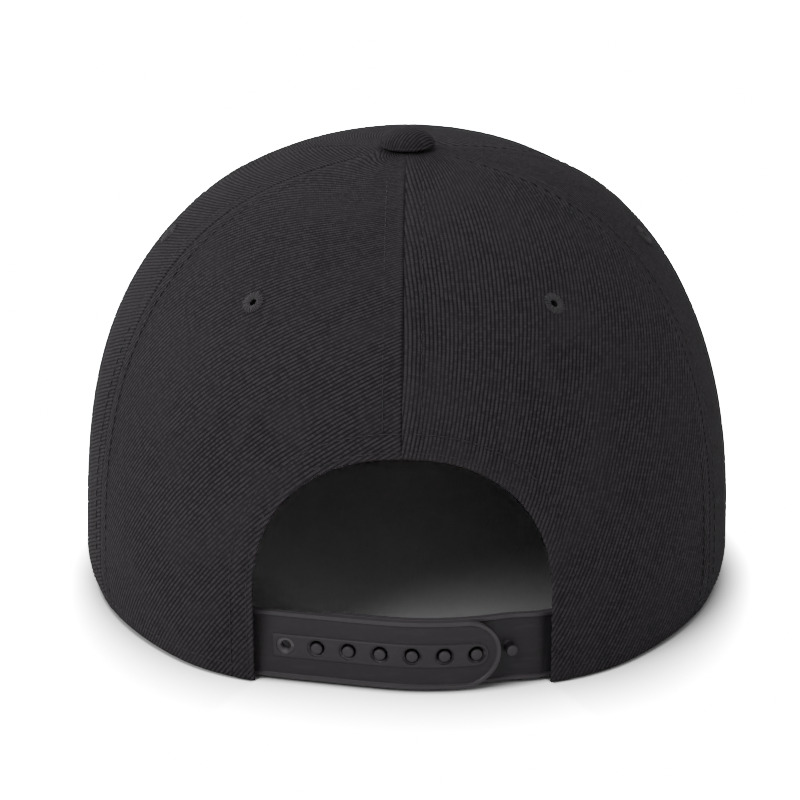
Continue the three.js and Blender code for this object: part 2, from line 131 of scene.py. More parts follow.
@dataclass(frozen=True)
class CrownForm:
    """The crown's outer face and what is laid out on it.

    climb is 0 at the hem, 1 at the widest level and 2 where the button's shank comes through.
    """

    axis_y: float
    width: float = 0.180
    back_reach: float = 0.1053
    front_reach: float = 0.102
    height: float = 0.125
    peak_rise: float = 0.0033
    peak_power: float = 6.0
    shank_radius: float = 0.0022
    cloth: float = 0.002
    arch_width: float = 0.0788
    arch_height: float = 0.0692
    arch_spring: float = 0.027
    arch_power: float = 2.2
    arch_stretch: float = 1.25
    leg_pull: float = 0.0037
    leg_pull_spread_deg: float = 16.0
    seams_deg: tuple[float, ...] = (0.0, 67.8, 118.0, 180.0)

    def direction(self, angle: np.ndarray) -> tuple[np.ndarray, ...]:
        """Gives the radius, dome power, widest height and hem tuck at polar angles.

        The plan is a superellipse, and the other three go from the side's value to the back's
        or front's by the squared cosine of the angle.
        """
        along = np.cos(angle)
        share = along * along
        back, side, front = Facing.BACK.value, Facing.SIDE.value, Facing.FRONT.value
        behind = along > 0
        reach = np.where(behind, self.back_reach, self.front_reach)
        power = np.where(behind, back.plan_power, front.plan_power)
        terms = np.abs(np.sin(angle) * 2 / self.width) ** power + np.abs(along / reach) ** power
        dome = np.where(behind, back.dome_power, front.dome_power)
        widest = np.where(behind, back.widest_share, front.widest_share)
        tuck = np.where(behind, back.tuck_share, front.tuck_share)
        return (
            terms ** (-1 / power),
            side.dome_power + (dome - side.dome_power) * share,
            self.height * (side.widest_share + (widest - side.widest_share) * share),
            self.width / 2 * (side.tuck_share + (tuck - side.tuck_share) * share),
        )

    def point(self, angle: np.ndarray, climb: np.ndarray) -> np.ndarray:
        """Gives points of the outer face.

        Below the widest level the radius draws in by the square of the way down. Above it the
        section is a superellipse with a low peak added round the axis.
        """
        angle, climb = np.broadcast_arrays(np.asarray(angle, float), np.asarray(climb, float))
        radius, power, widest, tuck = self.direction(angle)
        low = np.clip(climb, 0, 1)
        last = np.arccos((self.shank_radius / radius) ** (power / 2))
        rise = np.clip(climb - 1, 0, 1) * last
        out = np.cos(rise) ** (2 / power)
        peak = self.peak_rise * (1 - out) ** self.peak_power
        dome = (self.height - self.peak_rise - widest) * np.sin(rise) ** (2 / power)
        flat = radius * out - tuck * (1 - low) ** 2
        height = widest * low + dome + peak
        return np.stack([flat * np.sin(angle), self.axis_y - flat * np.cos(angle), height], -1)

    @cached_property
    def leg_angle(self) -> float:
        """The polar angle at which the hem meets the arch's leg, after the strap's pull."""
        angle = np.linspace(0.2, 1.0, 8001)
        reach = self.plan_radius(angle, np.zeros_like(angle)) - self.leg_pull
        return float(angle[np.argmax(reach * np.sin(angle) >= self.arch_width / 2)])

    def pull(self, angle: np.ndarray, climb: np.ndarray) -> np.ndarray:
        """Gives how far the closed strap draws the cloth in beside the arch.

        The pull is whole between the legs, fades beyond them by the square of what is left of
        its spread, and is gone at the widest level.
        """
        away = (np.abs(angle) - self.leg_angle) / math.radians(self.leg_pull_spread_deg)
        return self.leg_pull * np.clip(1 - away, 0, 1) ** 2 * (1 - np.minimum(climb, 1))

    def drawn(self, points: np.ndarray, angle: np.ndarray, climb: np.ndarray) -> np.ndarray:
        """Moves points of the plain crown in towards its axis by the strap's pull."""
        angle, climb = np.broadcast_arrays(np.asarray(angle, float), np.asarray(climb, float))
        outward = np.stack([np.sin(angle), -np.cos(angle), 0 * angle], -1)
        return points - outward * self.pull(angle, climb)[..., None]

    def face(self, angle: np.ndarray, climb: np.ndarray) -> np.ndarray:
        """Gives points of the outer face as the closed strap draws it in."""
        return self.drawn(self.point(angle, climb), angle, climb)

    def normal(self, angle: np.ndarray, climb: np.ndarray, step: float = 1e-3) -> np.ndarray:
        """Gives outward normals, as the cross product of small steps round and up."""
        high = np.minimum(climb + step, 2.0)
        low = np.maximum(climb - step, 0.0)
        up = self.point(angle, high) - self.point(angle, low)
        round_ = self.point(angle + step, climb) - self.point(angle - step, climb)
        return unit(np.cross(round_, up))

    def climb_at(self, angle: np.ndarray, height: np.ndarray) -> np.ndarray:
        """Finds the climb at which the outer face reaches a height, by halving."""
        angle, height = np.broadcast_arrays(np.asarray(angle, float), np.asarray(height, float))
        low = np.zeros_like(height)
        high = np.full_like(height, 2.0)
        for _ in range(36):
            middle = (low + high) / 2
            under = self.point(angle, middle)[..., 2] < height
            low = np.where(under, middle, low)
            high = np.where(under, high, middle)
        return (low + high) / 2

    def plan_radius(self, angle: np.ndarray, climb: np.ndarray) -> np.ndarray:
        """Gives the distance of the outer face from the crown's axis."""
        points = self.point(angle, climb)
        return np.hypot(points[..., 0], points[..., 1] - self.axis_y)

    def way_up(self, angle: np.ndarray, climb: np.ndarray, steps: int = 28) -> np.ndarray:
        """Gives the length along the cloth from the hem straight up to each climb."""
        total = np.zeros(np.broadcast(angle, climb).shape)
        before = self.point(angle, np.zeros_like(climb))
        for k in range(1, steps + 1):
            here = self.point(angle, climb * k / steps)
            total = total + np.linalg.norm(here - before, axis=-1)
            before = here
        return total

    def angle_at_x(self, x: np.ndarray, height: np.ndarray) -> np.ndarray:
        """Finds the polar angle near the back at which the face has a given x at a height."""
        angle = np.arcsin(np.clip(x / self.back_reach, -1, 1))
        for _ in range(24):
            climb = self.climb_at(angle, height)
            radius = self.plan_radius(angle, climb) - self.pull(angle, climb)
            angle = np.arcsin(np.clip(x / radius, -1, 1))
        return angle

    def arch_curve(self, share: np.ndarray, inset: float = 0.0) -> np.ndarray:
        """Gives angle and climb along half of the arch, from its top at 0 to the hem at 1.

        The arch is a superellipse quarter on a straight leg, in the plane of X and Z. A
        positive inset moves the curve out into the cloth.
        """
        half = self.arch_width / 2 + inset
        rise = self.arch_height - self.arch_spring + inset
        leg_share = self.arch_spring / (self.arch_spring + self.arch_stretch * rise)
        turn = np.clip(share / (1 - leg_share), 0, 1) * math.pi / 2
        x = half * np.sin(turn) ** (2 / self.arch_power)
        curved = self.arch_spring + rise * np.cos(turn) ** (2 / self.arch_power)
        down = np.clip((share - (1 - leg_share)) / leg_share, 0, 1)
        height = np.where(share < 1 - leg_share, curved, self.arch_spring * (1 - down))
        angle = self.angle_at_x(x, height)
        return np.stack([angle, self.climb_at(angle, height)], -1)


def put(tree: bpy.types.NodeTree, kind: str, settings: dict | None = None, **inputs) -> bpy.types.Node:
    """Adds a shader node with its settings and its inputs.

    Args:
        tree: The node tree.
        kind: The node's type without its ShaderNode prefix, such as Math.
        settings: Properties of the node by name.
        inputs: Values or sockets by input name, with _ for a space, or iN for input number N.

    Returns:
        The new node.
    """
    node = tree.nodes.new(f"ShaderNode{kind}")
    for name, value in (settings or {}).items():
        setattr(node, name, value)
    for name, value in inputs.items():
        if name[0] == "i" and name[1:].isdigit():
            socket = node.inputs[int(name[1:])]
        else:
            socket = node.inputs[name.replace("_", " ")]
        if isinstance(value, bpy.types.NodeSocket):
            tree.links.new(value, socket)
        else:
            socket.default_value = value
    return node


def calc(tree: bpy.types.NodeTree, operation: str, *values,
         clamp: bool = False) -> bpy.types.NodeSocket:
    """Adds a Math node.

    Args:
        tree: The node tree.
        operation: The node's operation, such as MULTIPLY.
        values: Numbers or sockets, in the order of its inputs.
        clamp: Whether the result is kept between 0 and 1.

    Returns:
        The node's result.
    """
    inputs = {f"i{number}": value for number, value in enumerate(values)}
    settings = {"operation": operation, "use_clamp": clamp}
    return put(tree, "Math", settings, **inputs).outputs[0]


def remap(tree: bpy.types.NodeTree, value: bpy.types.NodeSocket, to: tuple,
          span: tuple[float, float] = (0.0, 1.0)) -> bpy.types.NodeSocket:
    """Adds a Map Range node.

    Args:
        tree: The node tree.
        value: The value to map.
        to: The results at the span's ends, as numbers or sockets.
        span: The values that become them.

    Returns:
        The node's result, which stays between the two.
    """
    return put(tree, "MapRange", None, Value=value, From_Min=span[0], From_Max=span[1],
               To_Min=to[0], To_Max=to[1]).outputs[0]


def blend(tree: bpy.types.NodeTree, share: bpy.types.NodeSocket, first: str | bpy.types.NodeSocket,
          second: str | bpy.types.NodeSocket) -> bpy.types.NodeSocket:
    """Mixes two colours, given as sRGB hex or as sockets, by the share of the second."""
    ends = [to_linear(end) if isinstance(end, str) else end for end in (first, second)]
    return put(tree, "Mix", {"data_type": "RGBA"}, i0=share, i6=ends[0], i7=ends[1]).outputs[2]


def noise(tree: bpy.types.NodeTree, where: bpy.types.NodeSocket, scale: float, detail: float,
          roughness: float, dimensions: str = "2D") -> bpy.types.Node:
    """Adds a noise texture with so many of its lumps to the metre."""
    return put(tree, "TexNoise", {"noise_dimensions": dimensions}, Vector=where, Scale=scale,
               Detail=detail, Roughness=roughness)


@dataclass(frozen=True)
class Finish:
    """What every finish shares: its name and its empty node tree."""

    name: str

    def start(self) -> tuple[bpy.types.Material, bpy.types.NodeTree]:
        """Makes the material and clears its nodes."""
        material = bpy.data.materials.new(self.name)
        material.use_nodes = True
        material.node_tree.nodes.clear()
        return material, material.node_tree


@dataclass(frozen=True)
class CottonTwill(Finish):
    """Black cotton twill: fine slanting ribs of yarn with a dull, slightly dusty face.

    The weave reads the UV map called cloth, in metres: U runs along the ribs and V across them,
    one rib to each rib_pitch. Every yarn float on a rib is a little lighter or darker, and in
    soft patches handling has flattened the ribs.
    """

    yarn: str = "423e42"
    # The near-black groove colour is painted shade between the ribs.
    groove: str = "090809"
    dust: str = "4e4b4e"
    rib_pitch: float = 1.0 * MM
    yarn_step: float = 0.66 * MM
    lean: float = 0.25
    waver: float = 0.4 * MM
    relief: float = 0.25 * MM
    flattened: float = 0.38
    roughness: float = 0.9
    bead_low: float = 0.77
    float_strength: tuple[float, float] = (0.7, 1.25)
    rubbed_height: float = 0.58
    rub_span: tuple[float, float] = (0.46, 0.66)
    patch_span: tuple[float, float] = (0.35, 0.75)
    lint_span: tuple[float, float] = (0.62, 0.8)
    drift_per_m: float = 110.0
    rubs_per_m: float = 70.0
    fuzz_per_m: float = 2600.0
    fade_per_m: float = 28.0
    patch_dust: float = 0.07
    lint_dust: float = 0.16
    wear_dust: float = 0.2
    fuzz_height: float = 0.25
    sheen_tint: str = "8c888c"

    def weave(self, tree: bpy.types.NodeTree, uv: bpy.types.NodeSocket) -> bpy.types.NodeSocket:
        """Gives the yarn's height: a rounded rib across V, cut into yarn floats along U."""
        drift = noise(tree, uv, self.drift_per_m, 2.0, 0.5)
        shift = put(tree, "VectorMath", {"operation": "MULTIPLY_ADD"}, i0=drift.outputs["Color"],
                    i1=(self.waver, self.waver, 0), i2=uv)
        place = put(tree, "SeparateXYZ", None, Vector=shift.outputs[0])
        across = calc(tree, "MULTIPLY", place.outputs["Y"], 1 / self.rib_pitch)
        rib_turn = calc(tree, "FRACT", across)
        rib = calc(tree, "SINE", calc(tree, "MULTIPLY", rib_turn, math.pi))
        along = calc(tree, "MULTIPLY", place.outputs["X"], 1 / self.yarn_step)
        leaned = calc(tree, "MULTIPLY_ADD", rib_turn, self.lean, along)
        float_turn = calc(tree, "FRACT", leaned)
        bead = calc(tree, "SINE", calc(tree, "MULTIPLY", float_turn, math.pi))
        height = calc(tree, "MULTIPLY", rib, remap(tree, bead, (self.bead_low, 1.0)))
        number = put(tree, "CombineXYZ", None, X=calc(tree, "FLOOR", across),
                     Y=calc(tree, "FLOOR", leaned))
        chance = put(tree, "TexWhiteNoise", {"noise_dimensions": "2D"}, Vector=number.outputs[0])
        strength = remap(tree, chance.outputs["Value"], self.float_strength)
        varied = calc(tree, "MULTIPLY", height, strength)
        rubs = noise(tree, uv, self.rubs_per_m, 2.0, 0.5)
        flat = remap(tree, rubs.outputs["Fac"], (0.0, self.flattened), self.rub_span)
        return put(tree, "Mix", {"data_type": "FLOAT"}, i0=flat, i2=varied,
                   i3=self.rubbed_height).outputs[0]

    def make(self) -> bpy.types.Material:
        """Builds the cloth from its weave, with soft dusty patches, lint and rubbed edges."""
        material, tree = self.start()
        uv = put(tree, "UVMap", {"uv_map": "cloth"}).outputs[0]
        height = self.weave(tree, uv)
        fuzz = noise(tree, uv, self.fuzz_per_m, 2.0, 0.7).outputs["Fac"]
        fade = noise(tree, uv, self.fade_per_m, 4.0, 0.6).outputs["Fac"]
        worn = put(tree, "Attribute", {"attribute_name": "wear"}).outputs["Fac"]
        patch = remap(tree, fade, (0.0, self.patch_dust), self.patch_span)
        lint = remap(tree, fuzz, (0.0, self.lint_dust), self.lint_span)
        rubbed = calc(tree, "MULTIPLY_ADD", worn, self.wear_dust, calc(tree, "ADD", patch, lint))
        # Where the yarn is low it takes the groove colour, painted shade between the ribs.
        weave = blend(tree, height, self.groove, self.yarn)
        colour = blend(tree, rubbed, weave, self.dust)
        lumps = calc(tree, "MULTIPLY_ADD", fuzz, self.fuzz_height, height)
        bump = put(tree, "Bump", None, Strength=0.8, Distance=self.relief, Height=lumps)
        cloth = put(tree, "BsdfPrincipled", None, Base_Color=colour, Roughness=self.roughness,
                    Specular_IOR_Level=0.1, Sheen_Weight=0.04, Sheen_Roughness=0.5,
                    Sheen_Tint=to_linear(self.sheen_tint), Normal=bump.outputs[0])
        put(tree, "OutputMaterial", None, Surface=cloth.outputs[0])
        return material


@dataclass(frozen=True)
class SewingThread(Finish):
    """Black polyester thread: two plies twisted together, a little glossier than the cloth.

    The twist reads the UV map called cloth, in metres: U runs along the thread.
    """

    colour: str = "393639"
    shade: str = "232023"
    ply: float = 0.55 * MM
    relief: float = 0.1 * MM
    roughness: float = 0.62

    def make(self) -> bpy.types.Material:
        """Builds the twist as slanting bands along the thread."""
        material, tree = self.start()
        uv = put(tree, "UVMap", {"uv_map": "cloth"}).outputs[0]
        place = put(tree, "SeparateXYZ", None, Vector=uv)
        slant = calc(tree, "ADD", place.outputs["X"], place.outputs["Y"])
        wave = calc(tree, "SINE", calc(tree, "MULTIPLY", slant, 2 * math.pi / self.ply))
        share = remap(tree, wave, (0.0, 1.0), (-1.0, 1.0))
        colour = blend(tree, share, self.shade, self.colour)
        bump = put(tree, "Bump", None, Strength=0.5, Distance=self.relief, Height=share)
        thread = put(tree, "BsdfPrincipled", None, Base_Color=colour, Roughness=self.roughness,
                     Specular_IOR_Level=0.4, Normal=bump.outputs[0])
        put(tree, "OutputMaterial", None, Surface=thread.outputs[0])
        return material


@dataclass(frozen=True)
class MouldedPlastic(Finish):
    """Black moulded polyethylene: a fine dull skin in the low parts, lighter where it is raised, by
    rubbing and painted highlight.

    The attribute called wear tells the raised rims and heads from the plate, and also carries painted
    highlights on edges and painted light on the top and bottom faces.
    """

    plate: str = "302c30"
    # raised is the lighter colour of rubbed parts and of the painted highlights and painted light.
    raised: str = "5e5a5e"
    grain: float = 0.35 * MM
    scuff_size: float = 9 * MM
    scuff_span: tuple[float, float] = (0.5, 0.85)
    scuff_share: float = 0.16
    relief: float = 0.04 * MM
    roughness: float = 0.46
    scuff_dullness: float = 0.12

    def make(self) -> bpy.types.Material:
        """Builds the grain from fine noise and faint scuffs from stretched coarse noise."""
        material, tree = self.start()
        where = put(tree, "TexCoord").outputs["Object"]
        grain = noise(tree, where, 1 / self.grain, 3.0, 0.6, "3D")
        stretched = put(tree, "Mapping", None, Vector=where, Scale=(1, 1, 5)).outputs[0]
        scuffs = noise(tree, stretched, 1 / self.scuff_size, 6.0, 0.65, "3D").outputs["Fac"]
        worn = put(tree, "Attribute", {"attribute_name": "wear"}).outputs["Fac"]
        rubbed = remap(tree, scuffs, (0.0, self.scuff_share), self.scuff_span)
        # The wear attribute and the scuffs lighten the plastic: rubbing, painted highlights and
        # painted light on the strap's top and bottom faces.
        wear_and_painted_light = calc(tree, "ADD", worn, rubbed, clamp=True)
        colour = blend(tree, wear_and_painted_light, self.plate, self.raised)
        dullness = remap(tree, scuffs, (self.roughness, self.roughness + self.scuff_dullness))
        bump = put(tree, "Bump", None, Strength=0.3, Distance=self.relief,
                   Height=grain.outputs["Fac"])
        plastic = put(tree, "BsdfPrincipled", None, Base_Color=colour, Roughness=dullness,
                      IOR=1.5, Specular_IOR_Level=0.4, Normal=bump.outputs[0])
        put(tree, "OutputMaterial", None, Surface=plastic.outputs[0])
        return material


@dataclass(frozen=True)
class StudioPaper(Finish):
    """Seamless white paper of the studio floor: matt, and burnt out to white away from the cap.

    The camera sees it brighter than it lights the cap, as on an overexposed studio sweep. The
    attribute called open goes from 0 in the line where the hem meets the paper to 1 where
    nothing shades it. It carries a painted shadow round the cap, and painted light and shade on
    the floor under it.
    """

    colour: str = "f4f4f4"
    contact_gain: float = 0.7
    open_gain: float = 80.0

    def openness(self, gain: np.ndarray) -> np.ndarray:
        """Gives the attribute's value for a gain in brightness, from its logarithm."""
        return np.log(gain / self.contact_gain) / math.log(self.open_gain / self.contact_gain)

    def make(self) -> bpy.types.Material:
        """Builds the matt surface, whose brightness to the camera grows by powers of open."""
        material, tree = self.start()
        # open carries the painted shadow round the cap and the painted light and shade under it.
        share = put(tree, "Attribute", {"attribute_name": "open"}).outputs["Fac"]
        growth = calc(tree, "POWER", self.open_gain / self.contact_gain, share)
        gain = calc(tree, "MULTIPLY", growth, self.contact_gain)
        seen = remap(tree, put(tree, "LightPath").outputs["Is Camera Ray"], (1.0, gain))
        colour = put(tree, "VectorMath", {"operation": "SCALE"}, i0=to_linear(self.colour)[:3],
                     Scale=seen)
        paper = put(tree, "BsdfDiffuse", None, Color=colour.outputs[0], Roughness=0.0)
        put(tree, "OutputMaterial", None, Surface=paper.outputs[0])
        return material


def add_object(name: str, data: bpy.types.ID) -> bpy.types.Object:
    """Puts data into the scene as an object."""
    made = bpy.data.objects.new(name, data)
    bpy.context.scene.collection.objects.link(made)
    return made


def aim(piece: bpy.types.Object, place: Vector, way: Vector) -> None:
    """Stands a camera or light at a place and points it along a way."""
    piece.location = place
    piece.rotation_mode = "QUATERNION"
    piece.rotation_quaternion = way.to_track_quat("-Z", "Y")


def mesh_object(name: str, points: np.ndarray, faces: np.ndarray, material: bpy.types.Material,
                uv: np.ndarray | None = None, wear: np.ndarray | None = None,
                backing: bpy.types.Material | None = None) -> bpy.types.Object:
    """Puts vertices and quads into a smooth-shaded mesh object.

    Args:
        name: The object's name.
        points: Vertices, one row each.
        faces: Quads as vertex numbers, one row each. A row may repeat its last vertex.
        material: The finish.
        uv: The cloth coordinates of each vertex, in metres.
        wear: How rubbed each vertex is, from 0 to 1.
        backing: The finish of the inner face of a wall.

    Returns:
        The object, linked into the scene.
    """
    mesh = bpy.data.meshes.new(name)
    rows = [row[:3] if row[3] == row[2] else row for row in faces.tolist()]
    mesh.from_pydata(points.reshape(-1, 3).tolist(), [], rows)
    mesh.update()
    mesh.polygons.foreach_set("use_smooth", np.ones(len(mesh.polygons), bool))
    if uv is not None:
        corners = np.zeros(len(mesh.loops), np.int32)
        mesh.loops.foreach_get("vertex_index", corners)
        layer = mesh.uv_layers.new(name="cloth")
        layer.data.foreach_set("uv", uv.reshape(-1, 2)[corners].astype(np.float32).ravel())
    if wear is not None:
        attribute = mesh.attributes.new("wear", "FLOAT", "POINT")
        attribute.data.foreach_set("value", wear.astype(np.float32).ravel())
    mesh.materials.append(material)
    if backing is not None:
        mesh.materials.append(backing)
        inside = (faces >= len(points) // 2).all(1)
        mesh.polygons.foreach_set("material_index", inside.astype(np.int32))
    return add_object(name, mesh)


def grid_faces(columns: int, rows: int, start: int = 0, close: bool = False) -> np.ndarray:
    """Gives the quads of a grid of points numbered column by column.

    Args:
        columns: Number of points across.
        rows: Number of points in each column.
        start: Number of the first point.
        close: Whether the last column joins the first.

    Returns:
        An array of quads.
    """
    last = columns if close else columns - 1
    i, j = np.meshgrid(np.arange(last), np.arange(rows - 1), indexing="ij")
    here = start + i * rows + j
    there = start + ((i + 1) % columns) * rows + j
    return np.stack([here, there, there + 1, here + 1], -1).reshape(-1, 4)


def capped_faces(columns: int, rows: int) -> np.ndarray:
    """Gives the faces of a closed ring of columns, with a fan at each end.

    Args:
        columns: Number of points round.
        rows: Number of points in each column.

    Returns:
        An array of quads. The two hubs of the fans are numbered after the grid's points.
    """
    number = np.arange(columns) * rows
    after = np.roll(number, -1)
    hub = np.full(columns, columns * rows)
    first = np.stack([after, number, hub, hub], -1)
    last = np.stack([number + rows - 1, after + rows - 1, hub + 1, hub + 1], -1)
    return np.concatenate([grid_faces(columns, rows, close=True), first, last])


def signed_volume(points: np.ndarray, faces: np.ndarray) -> float:
    """Gives the volume that quads enclose, negative if they are inside out."""
    corners = points[faces]
    first = np.cross(corners[:, 1], corners[:, 2])
    second = np.cross(corners[:, 2], corners[:, 3])
    both = (corners[:, 0] * first).sum(-1) + (corners[:, 0] * second).sum(-1)
    return float(both.sum() / 6)


def facing_out(points: np.ndarray, faces: np.ndarray) -> np.ndarray:
    """Turns all the quads of a closed mesh round if they are inside out."""
    return faces if signed_volume(points, faces) > 0 else faces[:, ::-1]


def wall(outer: np.ndarray, inner: np.ndarray) -> tuple[np.ndarray, np.ndarray]:
    """Closes two grids of the same size into one body.

    Args:
        outer: Grid of points of the outer face, columns by rows by 3.
        inner: Grid of points of the inner face.

    Returns:
        The vertices and quads, facing outwards.
    """
    columns, rows = outer.shape[:2]
    count = columns * rows
    points = np.concatenate([outer.reshape(-1, 3), inner.reshape(-1, 3)])
    face = grid_faces(columns, rows)
    number = np.arange(count).reshape(columns, rows)
    loop = np.concatenate([
        number[:, 0], number[-1, 1:], number[-2::-1, -1], number[0, -2:0:-1],
    ])
    following = np.roll(loop, -1)
    rim = np.stack([loop, loop + count, following + count, following], -1)
    faces = np.concatenate([face, face[:, ::-1] + count, rim])
    return points, facing_out(points, faces)


def turned(profile: np.ndarray, centre: np.ndarray, axis: np.ndarray,
           sides: int = 28) -> tuple[np.ndarray, np.ndarray]:
    """Turns a profile round an axis into a closed body.

    Args:
        profile: Radius and height of each point, from one end of the axis to the other.
        centre: Where the axis starts.
        axis: Its direction.
        sides: How many sides the body has.

    Returns:
        The vertices and quads.
    """
    level = unit(np.cross(np.array([0.0, 0.02, 1.0]), axis))
    up = np.cross(axis, level)
    turn = np.linspace(0, 2 * math.pi, sides, endpoint=False)[:, None, None]
    radius, height = profile[None, :, :1], profile[None, :, 1:]
    points = centre + radius * (np.cos(turn) * level + np.sin(turn) * up) + height * axis
    columns, rows = points.shape[:2]
    ends = centre + np.array([[profile[0, 1]], [profile[-1, 1]]]) * axis
    flat = np.concatenate([points.reshape(-1, 3), ends])
    return flat, facing_out(flat, capped_faces(columns, rows))


def together(bodies: Sequence[tuple[np.ndarray, np.ndarray]]) -> tuple[np.ndarray, np.ndarray]:
    """Puts several bodies' vertices and quads into one mesh."""
    starts = np.cumsum([0] + [len(points) for points, _ in bodies[:-1]])
    points = np.concatenate([points for points, _ in bodies])
    faces = np.concatenate([faces + start for (_, faces), start in zip(bodies, starts)])
    return points, faces


@dataclass
class Seamwork:
    """Stitches laid along paths on the cloth, collected into one mesh.

    Each stitch is a short arched thread: a tube whose ends dip into the cloth.
    """

    length: float = 2.6 * MM
    gap: float = 0.5 * MM
    thickness: float = 0.4 * MM
    lift: float = 0.02 * MM
    dip: float = 0.36 * MM
    least_swell: float = 0.12
    rings: int = 7
    sides: int = 6
    points: list[np.ndarray] = field(default_factory=list)
    uvs: list[np.ndarray] = field(default_factory=list)

    def lay(self, centre: np.ndarray, up: np.ndarray, swell: np.ndarray, where: np.ndarray) -> None:
        """Adds tubes.

        Args:
            centre: The middle line of each tube, tubes by rings by 3.
            up: The way up from the cloth there.
            swell: The radius at each ring.
            where: The length along the thread at each ring of each tube.
        """
        along = unit(np.gradient(centre, axis=1))
        across = unit(np.cross(up, along))
        turn = np.arange(self.sides) * 2 * math.pi / self.sides
        ring = (
            across[:, :, None] * np.cos(turn)[None, None, :, None]
            + np.cross(along, across)[:, :, None] * np.sin(turn)[None, None, :, None]
        )
        tube = centre[:, :, None] + ring * swell[None, :, None, None]
        self.points.append(tube)
        u = np.broadcast_to(where[:, :, None], tube.shape[:3])
        v = np.broadcast_to(turn[None, None] * self.thickness / 2, tube.shape[:3])
        self.uvs.append(np.stack([u, v], -1))

    def sew(self, path: np.ndarray, normals: np.ndarray) -> None:
        """Lays stitches end to end along a path.

        Args:
            path: Points along the cloth, one row each.
            normals: The cloth's outward normals there.
        """
        steps = np.linalg.norm(np.diff(path, axis=0), axis=1)
        travelled = np.concatenate([[0], np.cumsum(steps)])
        count = max(1, int(travelled[-1] / (self.length + self.gap)))
        pitch = travelled[-1] / count
        stitch = self.length * pitch / (self.length + self.gap)
        share = np.linspace(0, 1, self.rings)
        where = (np.arange(count)[:, None] + 0.5) * pitch + (share - 0.5) * stitch
        centre = np.stack([np.interp(where, travelled, path[:, k]) for k in range(3)], -1)
        up = unit(np.stack([np.interp(where, travelled, normals[:, k]) for k in range(3)], -1))
        arch = 1 - np.abs(2 * share - 1) ** 3
        centre = centre + up * (self.lift - self.dip * (1 - arch))[None, :, None]
        full = np.clip(1 - np.abs(2 * share - 1) ** 6, self.least_swell, 1)
        swell = self.thickness / 2 * np.sqrt(full)
        self.lay(centre, up, swell, where)

    def body(self) -> tuple[np.ndarray, np.ndarray]:
        """Joins all the tubes' vertices and quads."""
        tubes = np.concatenate(self.points)
        per = self.rings * self.sides
        side = grid_faces(self.rings, self.sides)
        seam = np.arange(self.rings - 1) * self.sides
        ends = [seam + self.sides - 1, seam + 2 * self.sides - 1, seam + self.sides, seam]
        wrap = np.stack(ends, -1)
        fan = np.array([[0, 1, 2, 3], [0, 3, 4, 5]])
        caps = np.concatenate([fan[:, ::-1], fan + (self.rings - 1) * self.sides])
        one = facing_out(tubes[0].reshape(-1, 3), np.concatenate([side, wrap, caps]))
        faces = (one[None] + (np.arange(len(tubes)) * per)[:, None, None]).reshape(-1, 4)
        return tubes.reshape(-1, 3), faces

    def map(self) -> np.ndarray:
        """Gives the cloth coordinates of all the tubes' vertices."""
        return np.concatenate(self.uvs).reshape(-1, 2)

    def build(self, name: str, material: bpy.types.Material) -> bpy.types.Object:
        """Joins all the stitches into one mesh of closed tubes."""
        points, faces = self.body()
        return mesh_object(name, points, faces, material, uv=self.map())


@dataclass(frozen=True)
class Lay:
    """How the cloth's ribs lie on a panel that is laid flat.

    The count of ribs up to a place is round_ * u + up * v + (bend . (u^2, u v, v^2)) / 100, with
    u the length round from the panel's middle towards the wearer's right and v the length up from
    the hem, both in mm. The bend comes from the cloth being pulled round the dome.
    """

    round_: float
    up: float
    bend: tuple[float, float, float] = (0.0, 0.0, 0.0)

    def ribs(self, u: np.ndarray, v: np.ndarray) -> tuple[np.ndarray, np.ndarray]:
        """Gives the count of ribs and the matching length along them, in rib pitches."""
        p, q, r = (value / 100 for value in self.bend)
        across = self.round_ * u + self.up * v + p * u * u + q * u * v + r * v * v
        along = self.up * u - self.round_ * v + q / 2 * (u * u - v * v) + (r - p) * u * v
        return along, across

    @staticmethod
    def straight(angle_deg: float, per_mm: float = 0.92) -> "Lay":
        """Gives straight ribs that rise at an angle towards the wearer's right."""
        angle = math.radians(angle_deg)
        return Lay(-per_mm * math.sin(angle), per_mm * math.cos(angle))


